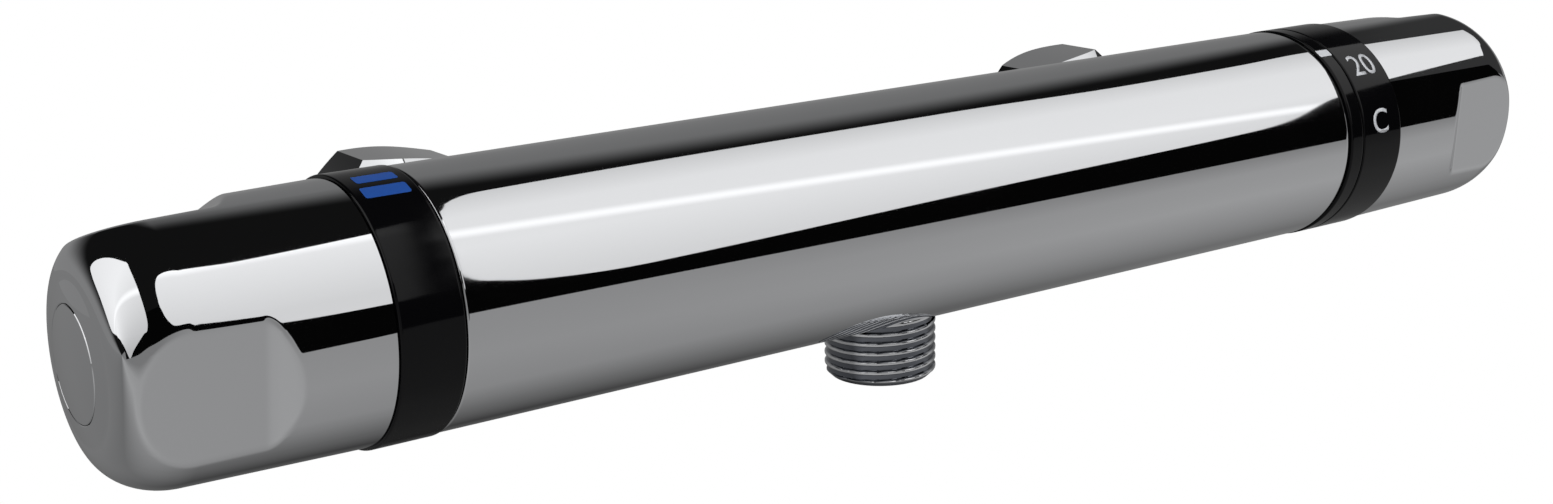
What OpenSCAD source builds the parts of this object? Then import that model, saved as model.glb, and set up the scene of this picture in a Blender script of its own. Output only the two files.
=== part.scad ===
// Thermostatic shower valve: a chromed bar with a flow knob, a temperature knob and two wall inlets.
// The origin lies between the two inlets, on the rear faces of their union nuts.
// +X runs along the bar to the temperature knob, +Y into the wall and +Z up.

/* [Body] */
// Diameter of the bar
body_d = 43.5; // [42.5:0.5:48]
// Distance from the hot inlet's axis to the bar's left end
left_end_len = 15.6; // [15:0.1:20]
// Distance from the cold inlet's axis to the bar's right end
right_end_len = 28.9; // [28:0.1:34]
// Chamfer on the bar's end edges
body_chamfer = 0.6; // [0.3:0.1:1]
// Radius of the mixed water passage along the bar's axis
mixed_r = 6.2; // [5:0.1:6.2]
// Radius of the hot water passage behind the axis
hot_r = 3.6; // [2.5:0.1:3.7]
// Distance of the hot water passage from the bar's axis
hot_offset = 16.2; // [16.2:0.1:16.6]
// Radius of the passage from the flow valve to the outlet
drain_r = 3.8; // [2.5:0.1:4]
// Distance of that passage below the bar's axis
drain_offset = 15.5; // [15.5:0.1:16.2]

/* [Inlets] */
// Distance between the centres of the two inlets
inlet_spacing = 160; // [150:0.5:162]
// Distance of the outlet axis from the middle of the inlets
outlet_x = 1.5; // [0:0.5:4]
// Radius of the bar's two rear bosses
boss_r = 12.5; // [12:0.5:13.5]
// Height of the boss face over the bar's surface
boss_h = 1.75; // [1:0.25:2.5]
// Radius of the threaded end of an inlet tail
tail_thread_r = 9; // [8.6:0.1:9.2]
// Distance of a tail's inner end from the bar's axis
tail_end_offset = 17.8; // [17.8:0.1:18.2]
// Radius of the water port under a tail
port_r = 5.6; // [4:0.1:5.6]
// Distance of the hot port's floor from the bar's axis
port_floor_offset = 13.6; // [13:0.1:14]
// Radius of a tail's collar on the boss
tail_collar_r = 11.8; // [11:0.1:12]
// Thickness of that collar
tail_collar_t = 2.4; // [2:0.1:2.6]
// Gap between that collar and the union nut
nut_gap = 1.2; // [0.8:0.1:4]
// Radius of a tail's neck through its union nut
tail_neck_r = 10; // [9:0.1:10.2]
// Thickness of a tail's sealing flange
tail_flange_t = 2.5; // [2:0.1:3]
// Radius of the check valve's bore in a tail
tail_bore_r = 7; // [6.5:0.1:7]
// Depth of the check valve's bore
tail_bore_depth = 12.2; // [12:0.1:12.6]
// Radius of a tail's bore behind its check valve
tail_throat_r = 5.2; // [4.5:0.1:5.6]

/* [Union nuts] */
// Size of a union nut across its flats
nut_af = 32; // [31:0.5:34]
// Length of a union nut
nut_len = 16.4; // [16:0.1:18]
// Chamfer at a nut's front
nut_front_chamfer = 1.3; // [1:0.1:2]
// Chamfer at a nut's rear
nut_rear_chamfer = 2; // [1:0.1:2.4]
// Radius over the crests of the nut's inner thread, three quarter inch pipe size
nut_thread_r = 12.06; // [12.06:0.01:12.1]
// Length of that thread
nut_thread_len = 8; // [6:0.1:8.4]
// Thickness of a nut's front wall
nut_front_t = 3; // [2.5:0.1:3.2]
// Turn of the hot nut at rest
hot_nut_turn = -52.6; // [-60:0.1:0]
// Turn of the cold nut at rest
cold_nut_turn = -8.9; // [-60:0.1:0]

/* [Threads] */
// Pitch of the pipe threads
thread_pitch = 1.814; // [1.814:0.001:2]
// Depth of the pipe threads
thread_depth = 1.16; // [0.9:0.01:1.2]
// Width of a crest left between two grooves
crest_w = 0.34; // [0.25:0.01:0.4]
// Width of a groove's floor
groove_floor_w = 0.3; // [0.2:0.01:0.4]

/* [Filters] */
// Outer radius of a filter washer
washer_r = 11.8; // [11.5:0.1:12]
// Inner radius of a filter washer
washer_bore_r = 8.6; // [8:0.1:9]
// Thickness of a filter washer
washer_t = 2; // [1.8:0.1:2.4]
// Thickness of the gauze in a washer
gauze_t = 0.4; // [0.3:0.1:0.6]
// Radius of a hole in the gauze
gauze_hole_r = 0.75; // [0.5:0.05:0.8]
// Distance between the rings of holes in the gauze
gauze_step = 2.4; // [2:0.1:2.6]

/* [Check valves] */
// Radius of a check valve's housing
check_r = 6.9; // [6.5:0.1:6.9]
// Inner radius of that housing
check_bore_r = 5.5; // [5.2:0.1:5.6]
// Length of that housing
check_len = 11.6; // [11:0.1:12]
// Radius of the seat's opening
check_seat_r = 3.6; // [3:0.1:3.8]
// Thickness of the seat and of the rear spider
check_wall = 1.4; // [1.2:0.1:1.6]
// Radius of the poppet's head
poppet_r = 4.4; // [4:0.1:4.6]
// Thickness of the poppet's head
poppet_t = 1.4; // [1.2:0.1:1.6]
// Radius of the poppet's stem
stem_r = 1; // [0.8:0.1:1.1]
// Mean radius of the check valve's spring
check_spring_r = 2.7; // [2.4:0.1:2.8]
// Radius of that spring's wire
check_wire_r = 0.25; // [0.2:0.05:0.3]

/* [Outlet] */
// Radius over the crests of the outlet's thread, half inch pipe size
outlet_thread_r = 10.4775; // [10.4:0.0005:10.6]
// Reach of the outlet below the bar's surface
outlet_reach = 9.75; // [9:0.05:12]
// Length of the thread between its undercut and its end chamfer
outlet_thread_len = 7.9; // [7:0.1:9]
// Height of the chamfer at the thread's end
outlet_chamfer = 1.1; // [0.8:0.1:1.4]
// Radius of the water bore in the outlet
outlet_bore_r = 6.6; // [5:0.1:7]
// Radius of the outlet's plain spigot in the bar
outlet_spigot_r = 8.9; // [8.5:0.1:9]
// Depth of the bar's outlet recess over its lowest line
outlet_recess = 3.4; // [3:0.1:3.6]
// Distance of the spigot's top below the bar's axis
outlet_top_offset = 16.4; // [16:0.1:17]

/* [Rings] */
// Outer radius of the black flow ring
flow_ring_r = 22; // [21.8:0.1:22.4]
// Outer radius of the black index ring and dial ring
dial_ring_r = 21.9; // [21.8:0.1:22.4]
// Inner radius of the rings
ring_bore_r = 18.5; // [18:0.1:18.8]
// Distance from the bar to the flow ring's outer edge
flow_ring_end = 11.2; // [10.5:0.1:13]
// Width of the index ring
index_w = 3.6; // [3.2:0.1:4]
// Distance from the bar to the dial ring's outer edge
dial_ring_end = 15.7; // [15:0.1:17]
// Chamfer on the rings' edges
ring_chamfer = 0.35; // [0.2:0.05:0.5]

/* [Knobs] */
// Radius of a knob at its ring
knob_r = 21.5; // [21.2:0.1:21.8]
// Radius of a knob where its end starts to round
knob_end_r = 21; // [20.6:0.1:21.4]
// Length of the flow knob
flow_knob_len = 42.5; // [41:0.1:46]
// Length of the temperature knob
temp_knob_len = 46.6; // [45:0.1:50]
// Length of a knob's rounded end
knob_round_len = 11; // [10:0.1:12]
// Radial depth of that rounding
knob_round_r = 8.2; // [7:0.1:9]
// Height of a knob's domed face
knob_dome = 1.5; // [1:0.1:2]
// Wall of a knob
knob_wall = 2.2; // [2:0.1:2.6]
// Distance of a scoop's flat from the axis
scoop_r = 18.5; // [18.3:0.1:19.2]
// Distance from a scoop's start to the knob's tip
scoop_len = 27.5; // [25:0.1:28]
// Length of the ramp at a scoop's start
scoop_ramp = 4; // [3:0.1:5]
// Angle of the flow knob's front scoop below the horizontal
flow_scoop_turn = 9.5; // [0:0.5:20]
// Angle of the temperature knob's front scoop below the horizontal
temp_scoop_turn = 4; // [0:0.5:20]
// Length of a knob's spigot in its ring
spigot_len = 8; // [7:0.1:9]
// Radius of the end cap
cap_r = 9; // [8.5:0.1:10]
// Depth of the end cap's seat below the tip
cap_depth = 3; // [2.8:0.1:3.4]
// Radius of the hub around the spindle
hub_r = 6.8; // [6.4:0.1:7.4]
// Length of the hub on the spindle
hub_len = 14; // [12:0.1:16]

/* [Spindles] */
// Radius of both spindles
spindle_r = 4.5; // [4.4:0.1:4.7]
// Size of a spindle's drive hexagon across its flats
drive_af = 7.6; // [7:0.1:7.8]
// Radius of the necks around the spindles
neck_r = 8.5; // [8:0.1:9]
// Length of a neck past its stop ring
neck_len = 8; // [6:0.1:10]
// Radius of a knob screw's shank
screw_r = 1.95; // [1.6:0.05:2.1]
// Radius of a knob screw's head
screw_head_r = 3.5; // [3:0.1:3.8]
// Height of a knob screw's head
screw_head_h = 3; // [2.6:0.1:3]
// Length of a knob screw's shank
screw_len = 12; // [10:0.5:14]
// Thickness of the wall under a screw's head
screw_wall = 2.3; // [2:0.1:3]
// Thickness of a spindle clip
clip_t = 1; // [0.8:0.1:1.2]
// Outer radius of a spindle clip
clip_r = 6.2; // [5.8:0.1:6.6]
// Depth of the clip's groove in its spindle
clip_groove = 0.8; // [0.6:0.1:1]

/* [Stops] */
// Radius of a stop ring's disc
stop_r = 13; // [12.5:0.1:13.2]
// Radius over a stop ring's lugs
stop_lug_r = 15.8; // [15:0.1:15.8]
// Thickness of a stop ring
stop_t = 3.6; // [3:0.1:4]
// Angle that one lug takes
lug_angle = 16; // [12:1:20]
// Width of a knob's stop rib
rib_w = 3; // [2.6:0.1:3.4]
// Opening angle of the flow knob
flow_range = 90; // [80:1:100]
// Angle from the resting temperature to the cold stop
cold_range = 45; // [30:1:50]
// Angle from the resting temperature to the hot stop
hot_range = 213; // [180:1:220]

/* [Flow valve] */
// Radius of the flow valve's bore in the bar
flow_bore_r = 10.5; // [10.3:0.1:10.6]
// Radius of the gallery round the valve's windows
gallery_r = 11.6; // [11.4:0.1:11.8]
// Length of the gallery
gallery_len = 9; // [8:0.1:9]
// Length of the valve's body inside the bar
headwork_len = 34; // [30:0.5:40]
// Size of the valve's hexagon across its flats
headwork_af = 22; // [20:0.5:22.4]
// Radius of the disc chamber in the valve's body
disc_bore_r = 8.4; // [8.2:0.1:8.5]
// Depth of the disc chamber
disc_bore_depth = 18; // [17.5:0.1:18.2]
// Radius of a window in the valve's body
window_r = 3; // [2:0.1:3.2]
// Distance from that body's inner end to the middle of its windows
window_rise = 11; // [10:0.1:12]
// Number of windows in the valve's body
window_n = 4; // [3:1:5]
// Radius of the ceramic discs
disc_r = 8.1; // [7.8:0.1:8.1]
// Thickness of a ceramic disc
disc_t = 3; // [2.6:0.1:3]
// Inner radius of a disc's openings
disc_hole_in_r = 2.6; // [2.4:0.1:3]
// Outer radius of a disc's openings
disc_hole_out_r = 6.4; // [6:0.1:6.6]
// Angle that one opening takes
disc_hole_angle = 74; // [60:1:80]
// Thickness of the rubber seat under the discs
seat_t = 2; // [1.8:0.1:2]
// Inner radius of the rubber seat
seat_bore_r = 6.8; // [6.6:0.1:7]
// Width of the yoke that turns the moving disc
yoke_w = 5; // [4:0.1:5.4]
// Thickness of the yoke
yoke_t = 2.4; // [2:0.1:2.6]
// Radius of a drive peg
peg_r = 0.9; // [0.7:0.1:1]
// Distance of a drive peg from the axis
peg_offset = 6; // [5.5:0.1:6.4]
// Length of a drive peg
peg_len = 1.6; // [1.2:0.1:2]
// Thickness of the flow spindle's shoulder
shoulder_t = 2.6; // [2:0.1:3]

/* [Cartridge] */
// Radius of the thermostatic cartridge's bore in the bar
temp_bore_r = 17; // [16.9:0.1:17.2]
// Radius of the cartridge's lands
land_r = 16.8; // [16.6:0.1:16.85]
// Radius of the cartridge between its lands
waist_r = 15.2; // [15:0.1:15.4]
// Radius of the mixing chamber
mix_r = 13; // [12.6:0.1:13.2]
// Radius of the opening in the seats
mix_seat_r = 11; // [10.6:0.1:11.2]
// Length of the cartridge's base in front of its housing
base_len = 6; // [5.6:0.1:6.2]
// Length of the base's rim inside the housing
rim_len = 6; // [5.8:0.1:6.2]
// Radius of the base's nose
nose_r = 7.4; // [7.2:0.1:7.8]
// Length of the base's nose
nose_len = 6; // [5.5:0.1:6.5]
// Radius of the bore through the nose
nose_bore_r = 4.4; // [4:0.1:4.6]
// Distance from the bar's end to the housing's outer end
housing_top = 10; // [10:0.1:10.4]
// Length of the land between hot and cold, level with the spool's hub
middle_land_len = 5; // [4.6:0.1:5.4]
// Length of the narrow waist past the cold seat
waist_over = 1; // [0.6:0.1:1.4]
// Thickness of the cold seat
cold_seat_t = 4.8; // [4.4:0.1:5]
// Number of water windows round the housing
slot_n = 6; // [5:1:7]
// Width of a water window
slot_w = 5; // [4:0.1:6]
// Length of a water window
slot_len = 3.2; // [2.8:0.1:3.6]
// Opening to the hot seat at rest
hot_gap = 0.7; // [0.6:0.05:1]
// Opening to the cold seat at rest
cold_gap = 2.4; // [2.2:0.05:2.6]
// Wall of the mixing spool
spool_wall = 2; // [1.8:0.1:2.2]
// Radius of the spool's hub
spool_hub_r = 6.8; // [6.4:0.1:7]
// Length of the spool's hub
spool_hub_len = 6; // [5.4:0.1:6.4]
// Length of the spool past its hub towards the cold seat
spool_top_len = 6.8; // [6.4:0.1:7.2]
// Length of the spool past its hub towards the hot seat
spool_skirt_len = 4.3; // [4:0.1:5]
// Thickness of the spool's web
web_t = 3; // [2.6:0.1:3.2]
// Radius of a hole in the web
web_hole_r = 1.6; // [1.2:0.1:1.7]
// Number of holes in the web
web_hole_n = 6; // [5:1:8]
// Radius of the wax capsule
wax_r = 5; // [4.8:0.1:5.2]
// Length of the wax capsule before its collar
wax_front_len = 14; // [13:0.1:14.5]
// Length of the wax capsule behind its collar
wax_rear_len = 3; // [2.6:0.1:3.4]
// Radius of the capsule's collar
wax_collar_r = 6.5; // [6:0.1:6.7]
// Thickness of the capsule's collar
wax_collar_t = 2; // [1.6:0.1:2.2]
// Radius of the capsule's neck
wax_neck_r = 3.2; // [3:0.1:3.6]
// Length of the capsule's neck
wax_neck_len = 6; // [5.5:0.1:6.2]
// Radius of the capsule's piston
piston_r = 1.8; // [1.6:0.1:2]
// Length of the piston that shows
piston_len = 5.6; // [5.2:0.1:5.8]
// Radius of the overload cup
cup_r = 4.4; // [4.2:0.1:4.6]
// Radius of the overload cup's flange
cup_flange_r = 6.6; // [6.4:0.1:6.7]
// Thickness of the overload cup's flange
cup_flange_t = 1; // [0.8:0.1:1.2]
// Length of the overload cup
cup_len = 4.6; // [4.2:0.1:4.8]
// Depth of the cup's seat for the piston
cup_seat = 2; // [1.8:0.1:2.2]
// Size of the drive nut across its flats
drive_nut_af = 18; // [17.6:0.1:18.4]
// Length of the drive nut
drive_nut_len = 12.6; // [12.2:0.1:12.8]
// Radius of the spring's chamber in the drive nut
drive_nut_bore_r = 7; // [6.9:0.1:7.2]
// Depth of that chamber
drive_nut_bore_depth = 7.5; // [7:0.1:7.8]
// Radius over the temperature spindle's thread
lead_r = 5; // [4.8:0.1:5.1]
// Length of the temperature spindle's thread
lead_len = 7; // [6.6:0.1:7.4]
// Length of that thread that shows past the drive nut at rest
lead_show = 4.3; // [3.5:0.1:5]
// Radius of the temperature spindle's flange
temp_flange_r = 9; // [8.5:0.1:9.2]
// Thickness of that flange
temp_flange_t = 1.9; // [1.7:0.1:2]
// Thickness of the bonnet's flange
bonnet_t = 4; // [3.8:0.1:4.4]
// Depth of the pocket in the bonnet
bonnet_pocket = 2.8; // [2.7:0.1:2.8]
// Radius of the cartridge nut's thread in the bar
gland_r = 17.9; // [17.6:0.1:17.9]
// Size of the cartridge nut across its flats
gland_af = 22; // [20:0.5:24]

/* [Springs] */
// Turns of a check valve's spring
check_turns = 5; // [4:1:6]
// Mean radius of the return spring
return_spring_r = 9; // [8.8:0.1:9.4]
// Radius of the return spring's wire
return_wire_r = 0.8; // [0.6:0.05:0.9]
// Turns of the return spring
return_turns = 4; // [3:1:5]
// Mean radius of the overload spring
overload_spring_r = 5.7; // [5.6:0.05:5.8]
// Radius of the overload spring's wire
overload_wire_r = 0.5; // [0.4:0.05:0.6]
// Turns of the overload spring
overload_turns = 3; // [2:1:4]

/* [Seals and fits] */
// Radius of the section of the larger sealing rings
seal_r = 0.9; // [0.8:0.05:1]
// Radius of the section of the spindles' sealing rings
small_seal_r = 0.5; // [0.4:0.05:0.5]
// Gap between pieces that are fixed to each other
fit_gap = 0.05; // [0.03:0.01:0.06]
// Gap of a piece that turns or slides in another
run_gap = 0.1; // [0.06:0.01:0.1]
// Gap between pieces that pass each other
free_gap = 0.3; // [0.25:0.05:0.4]

/* [Hidden] */

$fn = 96;
// Length that a cut runs past the surface that it opens
cut = 1;
// Radial share of the cut that one length of thread groove or chamfer takes
thread_cut_share = 1 / 4;
front_chamfer_share = 2;
rear_chamfer_share = 3 / 2;
// Places of the spindles' seals, as shares of a groove's width from the bar's end
seal_place_shares = [2, 5];
// Angle of a knob's stop rib round its axis
rib_turn = 90;
// Sides of a hexagon
hex = 6;
// Facets of a knob's rounded end
round_steps = 14;
// Rings of a spring's wire in one turn, and the wire's sides
coil_steps = 12;
wire_sides = 6;
chrome = [0.78, 0.79, 0.8];
brass = [0.72, 0.58, 0.32];
black = [0.05, 0.05, 0.06];
rubber = [0.12, 0.12, 0.12];
ceramic = [0.93, 0.92, 0.88];
white_plastic = [0.9, 0.9, 0.88];
steel = [0.6, 0.61, 0.63];

body_r = body_d / 2;
// The bar's axis lies in front of its boss, a tail's collar and the union nut
bar_y = -nut_len - nut_gap - tail_collar_t - boss_h - body_r;
hot_x = -inlet_spacing / 2;
cold_x = inlet_spacing / 2;
left_x = hot_x - left_end_len;
right_x = cold_x + right_end_len;
body_len = right_x - left_x;
boss_y = bar_y + body_r + boss_h;
tail_end_y = bar_y + tail_end_offset;
nut_front_y = -nut_len;
flange_y = nut_front_y + nut_front_t + free_gap;
face_y = flange_y + tail_flange_t;
flange_r = nut_thread_r + thread_depth - free_gap;
tail_wall_y = face_y - tail_bore_depth;
check_y = tail_wall_y + fit_gap;
outlet_end_z = -body_r - outlet_reach;
thread_top_z = outlet_end_z + outlet_chamfer + outlet_thread_len;
recess_z = -body_r + outlet_recess;
knob_face_r = knob_end_r - knob_round_r;
// Room between a stop ring and the rings around it
stop_room = 0.5;
stop_offset = stop_t + stop_room;
flow_stop_z = flow_ring_end - stop_offset;
temp_stop_z = dial_ring_end - stop_offset;
flow_neck_z = flow_stop_z + stop_t + neck_len;
temp_neck_z = temp_stop_z + stop_t + neck_len;
screw_seat_depth = cap_depth + screw_head_h + fit_gap;
hub_floor_depth = screw_seat_depth + screw_wall;
flow_spindle_end = flow_ring_end + flow_knob_len - hub_floor_depth;
temp_spindle_end = dial_ring_end + temp_knob_len - hub_floor_depth;
rib_in_r = stop_r + free_gap;
rib_angle = 2 * asin(rib_w / 2 / rib_in_r);
lug_shift = (rib_angle + lug_angle) / 2 + 2 * asin(free_gap / 2 / rib_in_r);
flow_bore_depth = headwork_len + seat_t;
disc_seat_z = -flow_bore_depth + fit_gap;
fixed_disc_z = disc_seat_z + seat_t + fit_gap;
moving_disc_z = fixed_disc_z + disc_t + fit_gap;
yoke_z = moving_disc_z + disc_t + fit_gap;
shoulder_z = -headwork_len + disc_bore_depth - run_gap - shoulder_t;
window_z = -headwork_len + window_rise;
bonnet_z = -housing_top + fit_gap;
lead_top_z = bonnet_z + (bonnet_pocket - temp_flange_t) / 2;
lead_z = lead_top_z - lead_len;
drive_nut_z = lead_top_z - lead_show - drive_nut_len;
drive_ceiling_z = drive_nut_z + drive_nut_bore_depth;
cup_z = drive_nut_z;
cup_flange_z = cup_z + cup_flange_t;
piston_z = cup_z + cup_seat - piston_len;
wax_neck_z = piston_z - wax_neck_len;
wax_collar_z = wax_neck_z - wax_rear_len - wax_collar_t;
spool_hub_z = wax_collar_z - spool_hub_len;
spool_end_z = wax_collar_z + spool_top_len;
spool_z = spool_hub_z - spool_skirt_len;
spool_bore_r = mix_r - run_gap - spool_wall;
web_z = spool_hub_z + (spool_hub_len - web_t) / 2;
cold_seat_z = spool_end_z + cold_gap;
middle_land_z = spool_hub_z + middle_land_len;
outer_land_z = cold_seat_z + cold_seat_t + waist_over;
rim_z = spool_z - hot_gap;
housing_z = rim_z - rim_len;
base_z = housing_z - base_len;
gland_z = bonnet_z + bonnet_t + fit_gap;
gland_hex_h = temp_stop_z - index_w;
seal_groove = 2 * seal_r;
small_groove = 2 * small_seal_r;
outlet_seal_r = small_seal_r;
middle_seal_z = middle_land_z - middle_land_len / 2;
outer_seal_z = outer_land_z + middle_land_len;
nose_seal_z = base_z - 3 * seal_groove / 2;

// Puts what is drawn along +Z on the bar's axis, pointing to the temperature knob
module to_right(x) {
    translate([x, bar_y, 0]) rotate([0, 90, 0]) children();
}

// Puts what is drawn along +Z on the bar's axis, pointing to the flow knob
module to_left(x) {
    translate([x, bar_y, 0]) rotate([0, -90, 0]) children();
}

// Puts what is drawn along +Z at an inlet, pointing to the wall
module to_wall(x, y) {
    translate([x, y, 0]) rotate([-90, 0, 0]) children();
}

// A round bar from z0 to z1
module rod(r, z0, z1) {
    translate([0, 0, z0]) cylinder(r = r, h = z1 - z0);
}

// A tube from z0 to z1
module tube(r, bore, z0, z1) {
    difference() {
        rod(r, z0, z1);
        rod(bore, z0 - cut, z1 + cut);
    }
}

// A hexagonal bar from z0 to z1, measured across its flats
module hex_rod(af, z0, z1) {
    translate([0, 0, z0]) cylinder(r = af / 2 / cos(30), h = z1 - z0, $fn = hex);
}

// A sealing ring of round section
module seal(mean_r, z, section_r = seal_r) {
    translate([0, 0, z]) rotate_extrude() translate([mean_r, 0]) circle(r = section_r, $fn = 48);
}

// A ring with small chamfers on its outer edges
module band(r, bore, z0, z1, c) {
    rotate_extrude() polygon([
        [bore, z0], [r - c, z0], [r, z0 + c], [r, z1 - c], [r - c, z1], [bore, z1]
    ]);
}

// Annular thread grooves on a radius, cut outwards or inwards along +Z
module thread_grooves(crest_r, length, side) {
    n = floor((length - crest_w) / thread_pitch);
    half = (thread_pitch - crest_w) / 2;
    start = (length - n * thread_pitch) / 2;
    for (i = [0:n - 1]) {
        translate([0, 0, start + (i + 1 / 2) * thread_pitch]) rotate_extrude() polygon([
            [crest_r - side * cut * thread_cut_share, -half], [crest_r, -half],
            [crest_r + side * thread_depth, -groove_floor_w / 2],
            [crest_r + side * thread_depth, groove_floor_w / 2],
            [crest_r, half], [crest_r - side * cut * thread_cut_share, half]
        ]);
    }
}

// One unbroken coil of round wire, drawn along +Z between two planes
module coil(mean_r, wire_r, z0, z1, turns) {
    steps = turns * coil_steps;
    rise = z1 - z0 - 2 * wire_r;
    points = [for (i = [0:steps], k = [0:wire_sides - 1])
        let (t = 360 * i / coil_steps, a = 360 * k / wire_sides, r = mean_r + wire_r * cos(a))
        [r * cos(t), r * sin(t), z0 + wire_r + rise * i / steps + wire_r * sin(a)]];
    sides = [for (i = [0:steps - 1], k = [0:wire_sides - 1])
        let (p = i * wire_sides, m = (k + 1) % wire_sides)
        each [[p + k, p + m, p + wire_sides + m], [p + k, p + wire_sides + m, p + wire_sides + k]]];
    last = steps * wire_sides;
    ends = [for (k = [1:wire_sides - 2]) each [[0, k + 1, k], [last, last + k, last + k + 1]]];
    polyhedron(points = points, faces = concat(sides, ends));
}

// The bar with its chambers, passages, rear bosses and outlet recess
module valve_body() {
    color(chrome) difference() {
        union() {
            to_right(left_x) rotate_extrude() polygon([
                [0, 0], [body_r - body_chamfer, 0], [body_r, body_chamfer],
                [body_r, body_len - body_chamfer], [body_r - body_chamfer, body_len], [0, body_len]
            ]);
            for (x = [hot_x, cold_x]) to_wall(x, bar_y) cylinder(r = boss_r, h = body_r + boss_h);
        }
        to_left(left_x) {
            rod(flow_bore_r, -flow_bore_depth, cut);
            rod(gallery_r, window_z - gallery_len / 2, window_z + gallery_len / 2);
        }
        to_right(right_x) {
            rod(temp_bore_r, base_z, cut);
            rod(gland_r + fit_gap, gland_z - fit_gap, cut);
            rod(nose_r + fit_gap, base_z - nose_len - free_gap, base_z + cut);
        }
        to_right(left_x) rod(mixed_r, flow_bore_depth - cut, body_len + base_z);
        translate([hot_x, bar_y + hot_offset, 0]) rotate([0, 90, 0])
            cylinder(r = hot_r, h = right_x + housing_z - hot_x);
        translate([left_x - window_z, bar_y, -drain_offset]) rotate([0, 90, 0])
            cylinder(r = drain_r, h = outlet_x - left_x + window_z);
        translate([left_x - window_z, bar_y, -drain_offset])
            cylinder(r = drain_r - free_gap, h = drain_offset - flow_bore_r + cut);
        translate([outlet_x, bar_y, -body_r - cut]) {
            cylinder(r = outlet_spigot_r + fit_gap, h = body_r + cut - drain_offset + drain_r);
            cylinder(r = outlet_thread_r + fit_gap, h = outlet_recess + cut);
        }
        for (x = [hot_x, cold_x]) to_wall(x, bar_y) {
            rod(tail_thread_r + fit_gap, tail_end_offset - fit_gap, body_r + boss_h + cut);
            rod(port_r, port_floor_offset, tail_end_offset);
        }
    }
}

// The screwed outlet for a hose, with its thread below the bar
module outlet_nipple() {
    color(chrome) translate([outlet_x, bar_y, 0]) difference() {
        rotate_extrude() polygon([
            [outlet_bore_r, outlet_end_z], [outlet_thread_r - thread_depth, outlet_end_z],
            [outlet_thread_r, outlet_end_z + outlet_chamfer], [outlet_thread_r, thread_top_z],
            [outlet_thread_r - free_gap, thread_top_z + free_gap],
            [outlet_thread_r - free_gap, recess_z - fit_gap], [outlet_spigot_r, recess_z - fit_gap],
            [outlet_spigot_r, -outlet_top_offset], [outlet_bore_r, -outlet_top_offset]
        ]);
        translate([0, 0, outlet_end_z + outlet_chamfer])
            thread_grooves(outlet_thread_r, outlet_thread_len, -1);
        translate([0, 0, recess_z + outlet_seal_r + fit_gap]) rotate_extrude()
            translate([outlet_spigot_r - 2 * outlet_seal_r, -outlet_seal_r])
            square([2 * outlet_seal_r + cut, 2 * outlet_seal_r]);
    }
}

// The sealing ring round the outlet's spigot
module outlet_seal() {
    color(rubber) translate([outlet_x, bar_y, 0])
        seal(outlet_spigot_r - outlet_seal_r, recess_z + outlet_seal_r + fit_gap, outlet_seal_r - fit_gap);
}

// A tail that is screwed into the bar and holds its union nut by a flange
module inlet_tail(x) {
    color(brass) to_wall(x, 0) difference() {
        union() {
            rod(tail_thread_r, tail_end_y, boss_y + cut);
            rod(tail_collar_r, boss_y, boss_y + tail_collar_t);
            rod(tail_neck_r, boss_y + tail_collar_t / 2, face_y);
            rod(flange_r, flange_y, face_y);
        }
        rod(tail_bore_r, tail_wall_y, face_y + cut);
        rod(tail_throat_r, tail_end_y - cut, tail_wall_y + cut);
        rod_groove(tail_thread_r, small_groove, boss_y - small_groove, boss_y);
    }
}

module inlet_tail_hot() {
    inlet_tail(hot_x);
}

module inlet_tail_cold() {
    inlet_tail(cold_x);
}

// A sealing ring under the collar of each tail
module inlet_tail_seals() {
    color(rubber) for (x = [hot_x, cold_x])
        to_wall(x, 0) seal(tail_thread_r - small_seal_r, boss_y - small_seal_r, small_seal_r - fit_gap);
}

// Rubber washers on the tails' sealing faces
module filter_washers() {
    color(rubber) for (x = [hot_x, cold_x]) to_wall(x, face_y) tube(washer_r, washer_bore_r, 0, washer_t);
}

// Perforated discs that sit in the washers
module filter_gauzes() {
    color(steel) for (x = [hot_x, cold_x]) to_wall(x, face_y + (washer_t - gauze_t) / 2) difference() {
        cylinder(r = washer_bore_r - fit_gap, h = gauze_t);
        for (ring = [0:3], k = [0:max(0, hex * ring - 1)])
            rotate(ring == 0 ? 0 : 360 * k / (hex * ring)) translate([ring * gauze_step, 0, -cut])
                cylinder(r = gauze_hole_r, h = gauze_t + 2 * cut, $fn = 24);
    }
}

// The housing of a check valve, with its seat to the wall and a spider at its inner end
module check_housing(x) {
    color(white_plastic) to_wall(x, check_y) difference() {
        rod(check_r, 0, check_len);
        rod(check_bore_r, check_wall, check_len - check_wall);
        rod(check_seat_r, check_len - check_wall - cut, check_len + cut);
        rod(stem_r + run_gap, -cut, check_wall + cut);
        for (k = [0:2]) rotate(120 * k) translate([(check_bore_r + stem_r) / 2 + run_gap, 0, -cut])
            cylinder(r = (check_bore_r - stem_r) / 3, h = check_wall + 2 * cut);
    }
}

module check_housing_hot() {
    check_housing(hot_x);
}

module check_housing_cold() {
    check_housing(cold_x);
}

// The poppet that closes against the seat
module check_poppet(x) {
    top = check_len - check_wall - fit_gap;
    color(black) to_wall(x, check_y) union() {
        rotate_extrude() polygon([
            [0, top - poppet_t], [poppet_r, top - poppet_t], [poppet_r, top],
            [check_seat_r - free_gap, top], [check_seat_r - 2 * free_gap, top + check_wall / 2],
            [0, top + check_wall / 2]
        ]);
        rod(stem_r, free_gap, top - poppet_t / 2);
    }
}

module check_poppet_hot() {
    check_poppet(hot_x);
}

module check_poppet_cold() {
    check_poppet(cold_x);
}

// The light spring that holds the poppet shut
module check_spring(x) {
    far_z = check_len - check_wall - poppet_t - 2 * fit_gap;
    color(steel) to_wall(x, check_y)
        coil(check_spring_r, check_wire_r, check_wall + fit_gap, far_z, check_turns);
}

module check_spring_hot() {
    check_spring(hot_x);
}

module check_spring_cold() {
    check_spring(cold_x);
}

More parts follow.
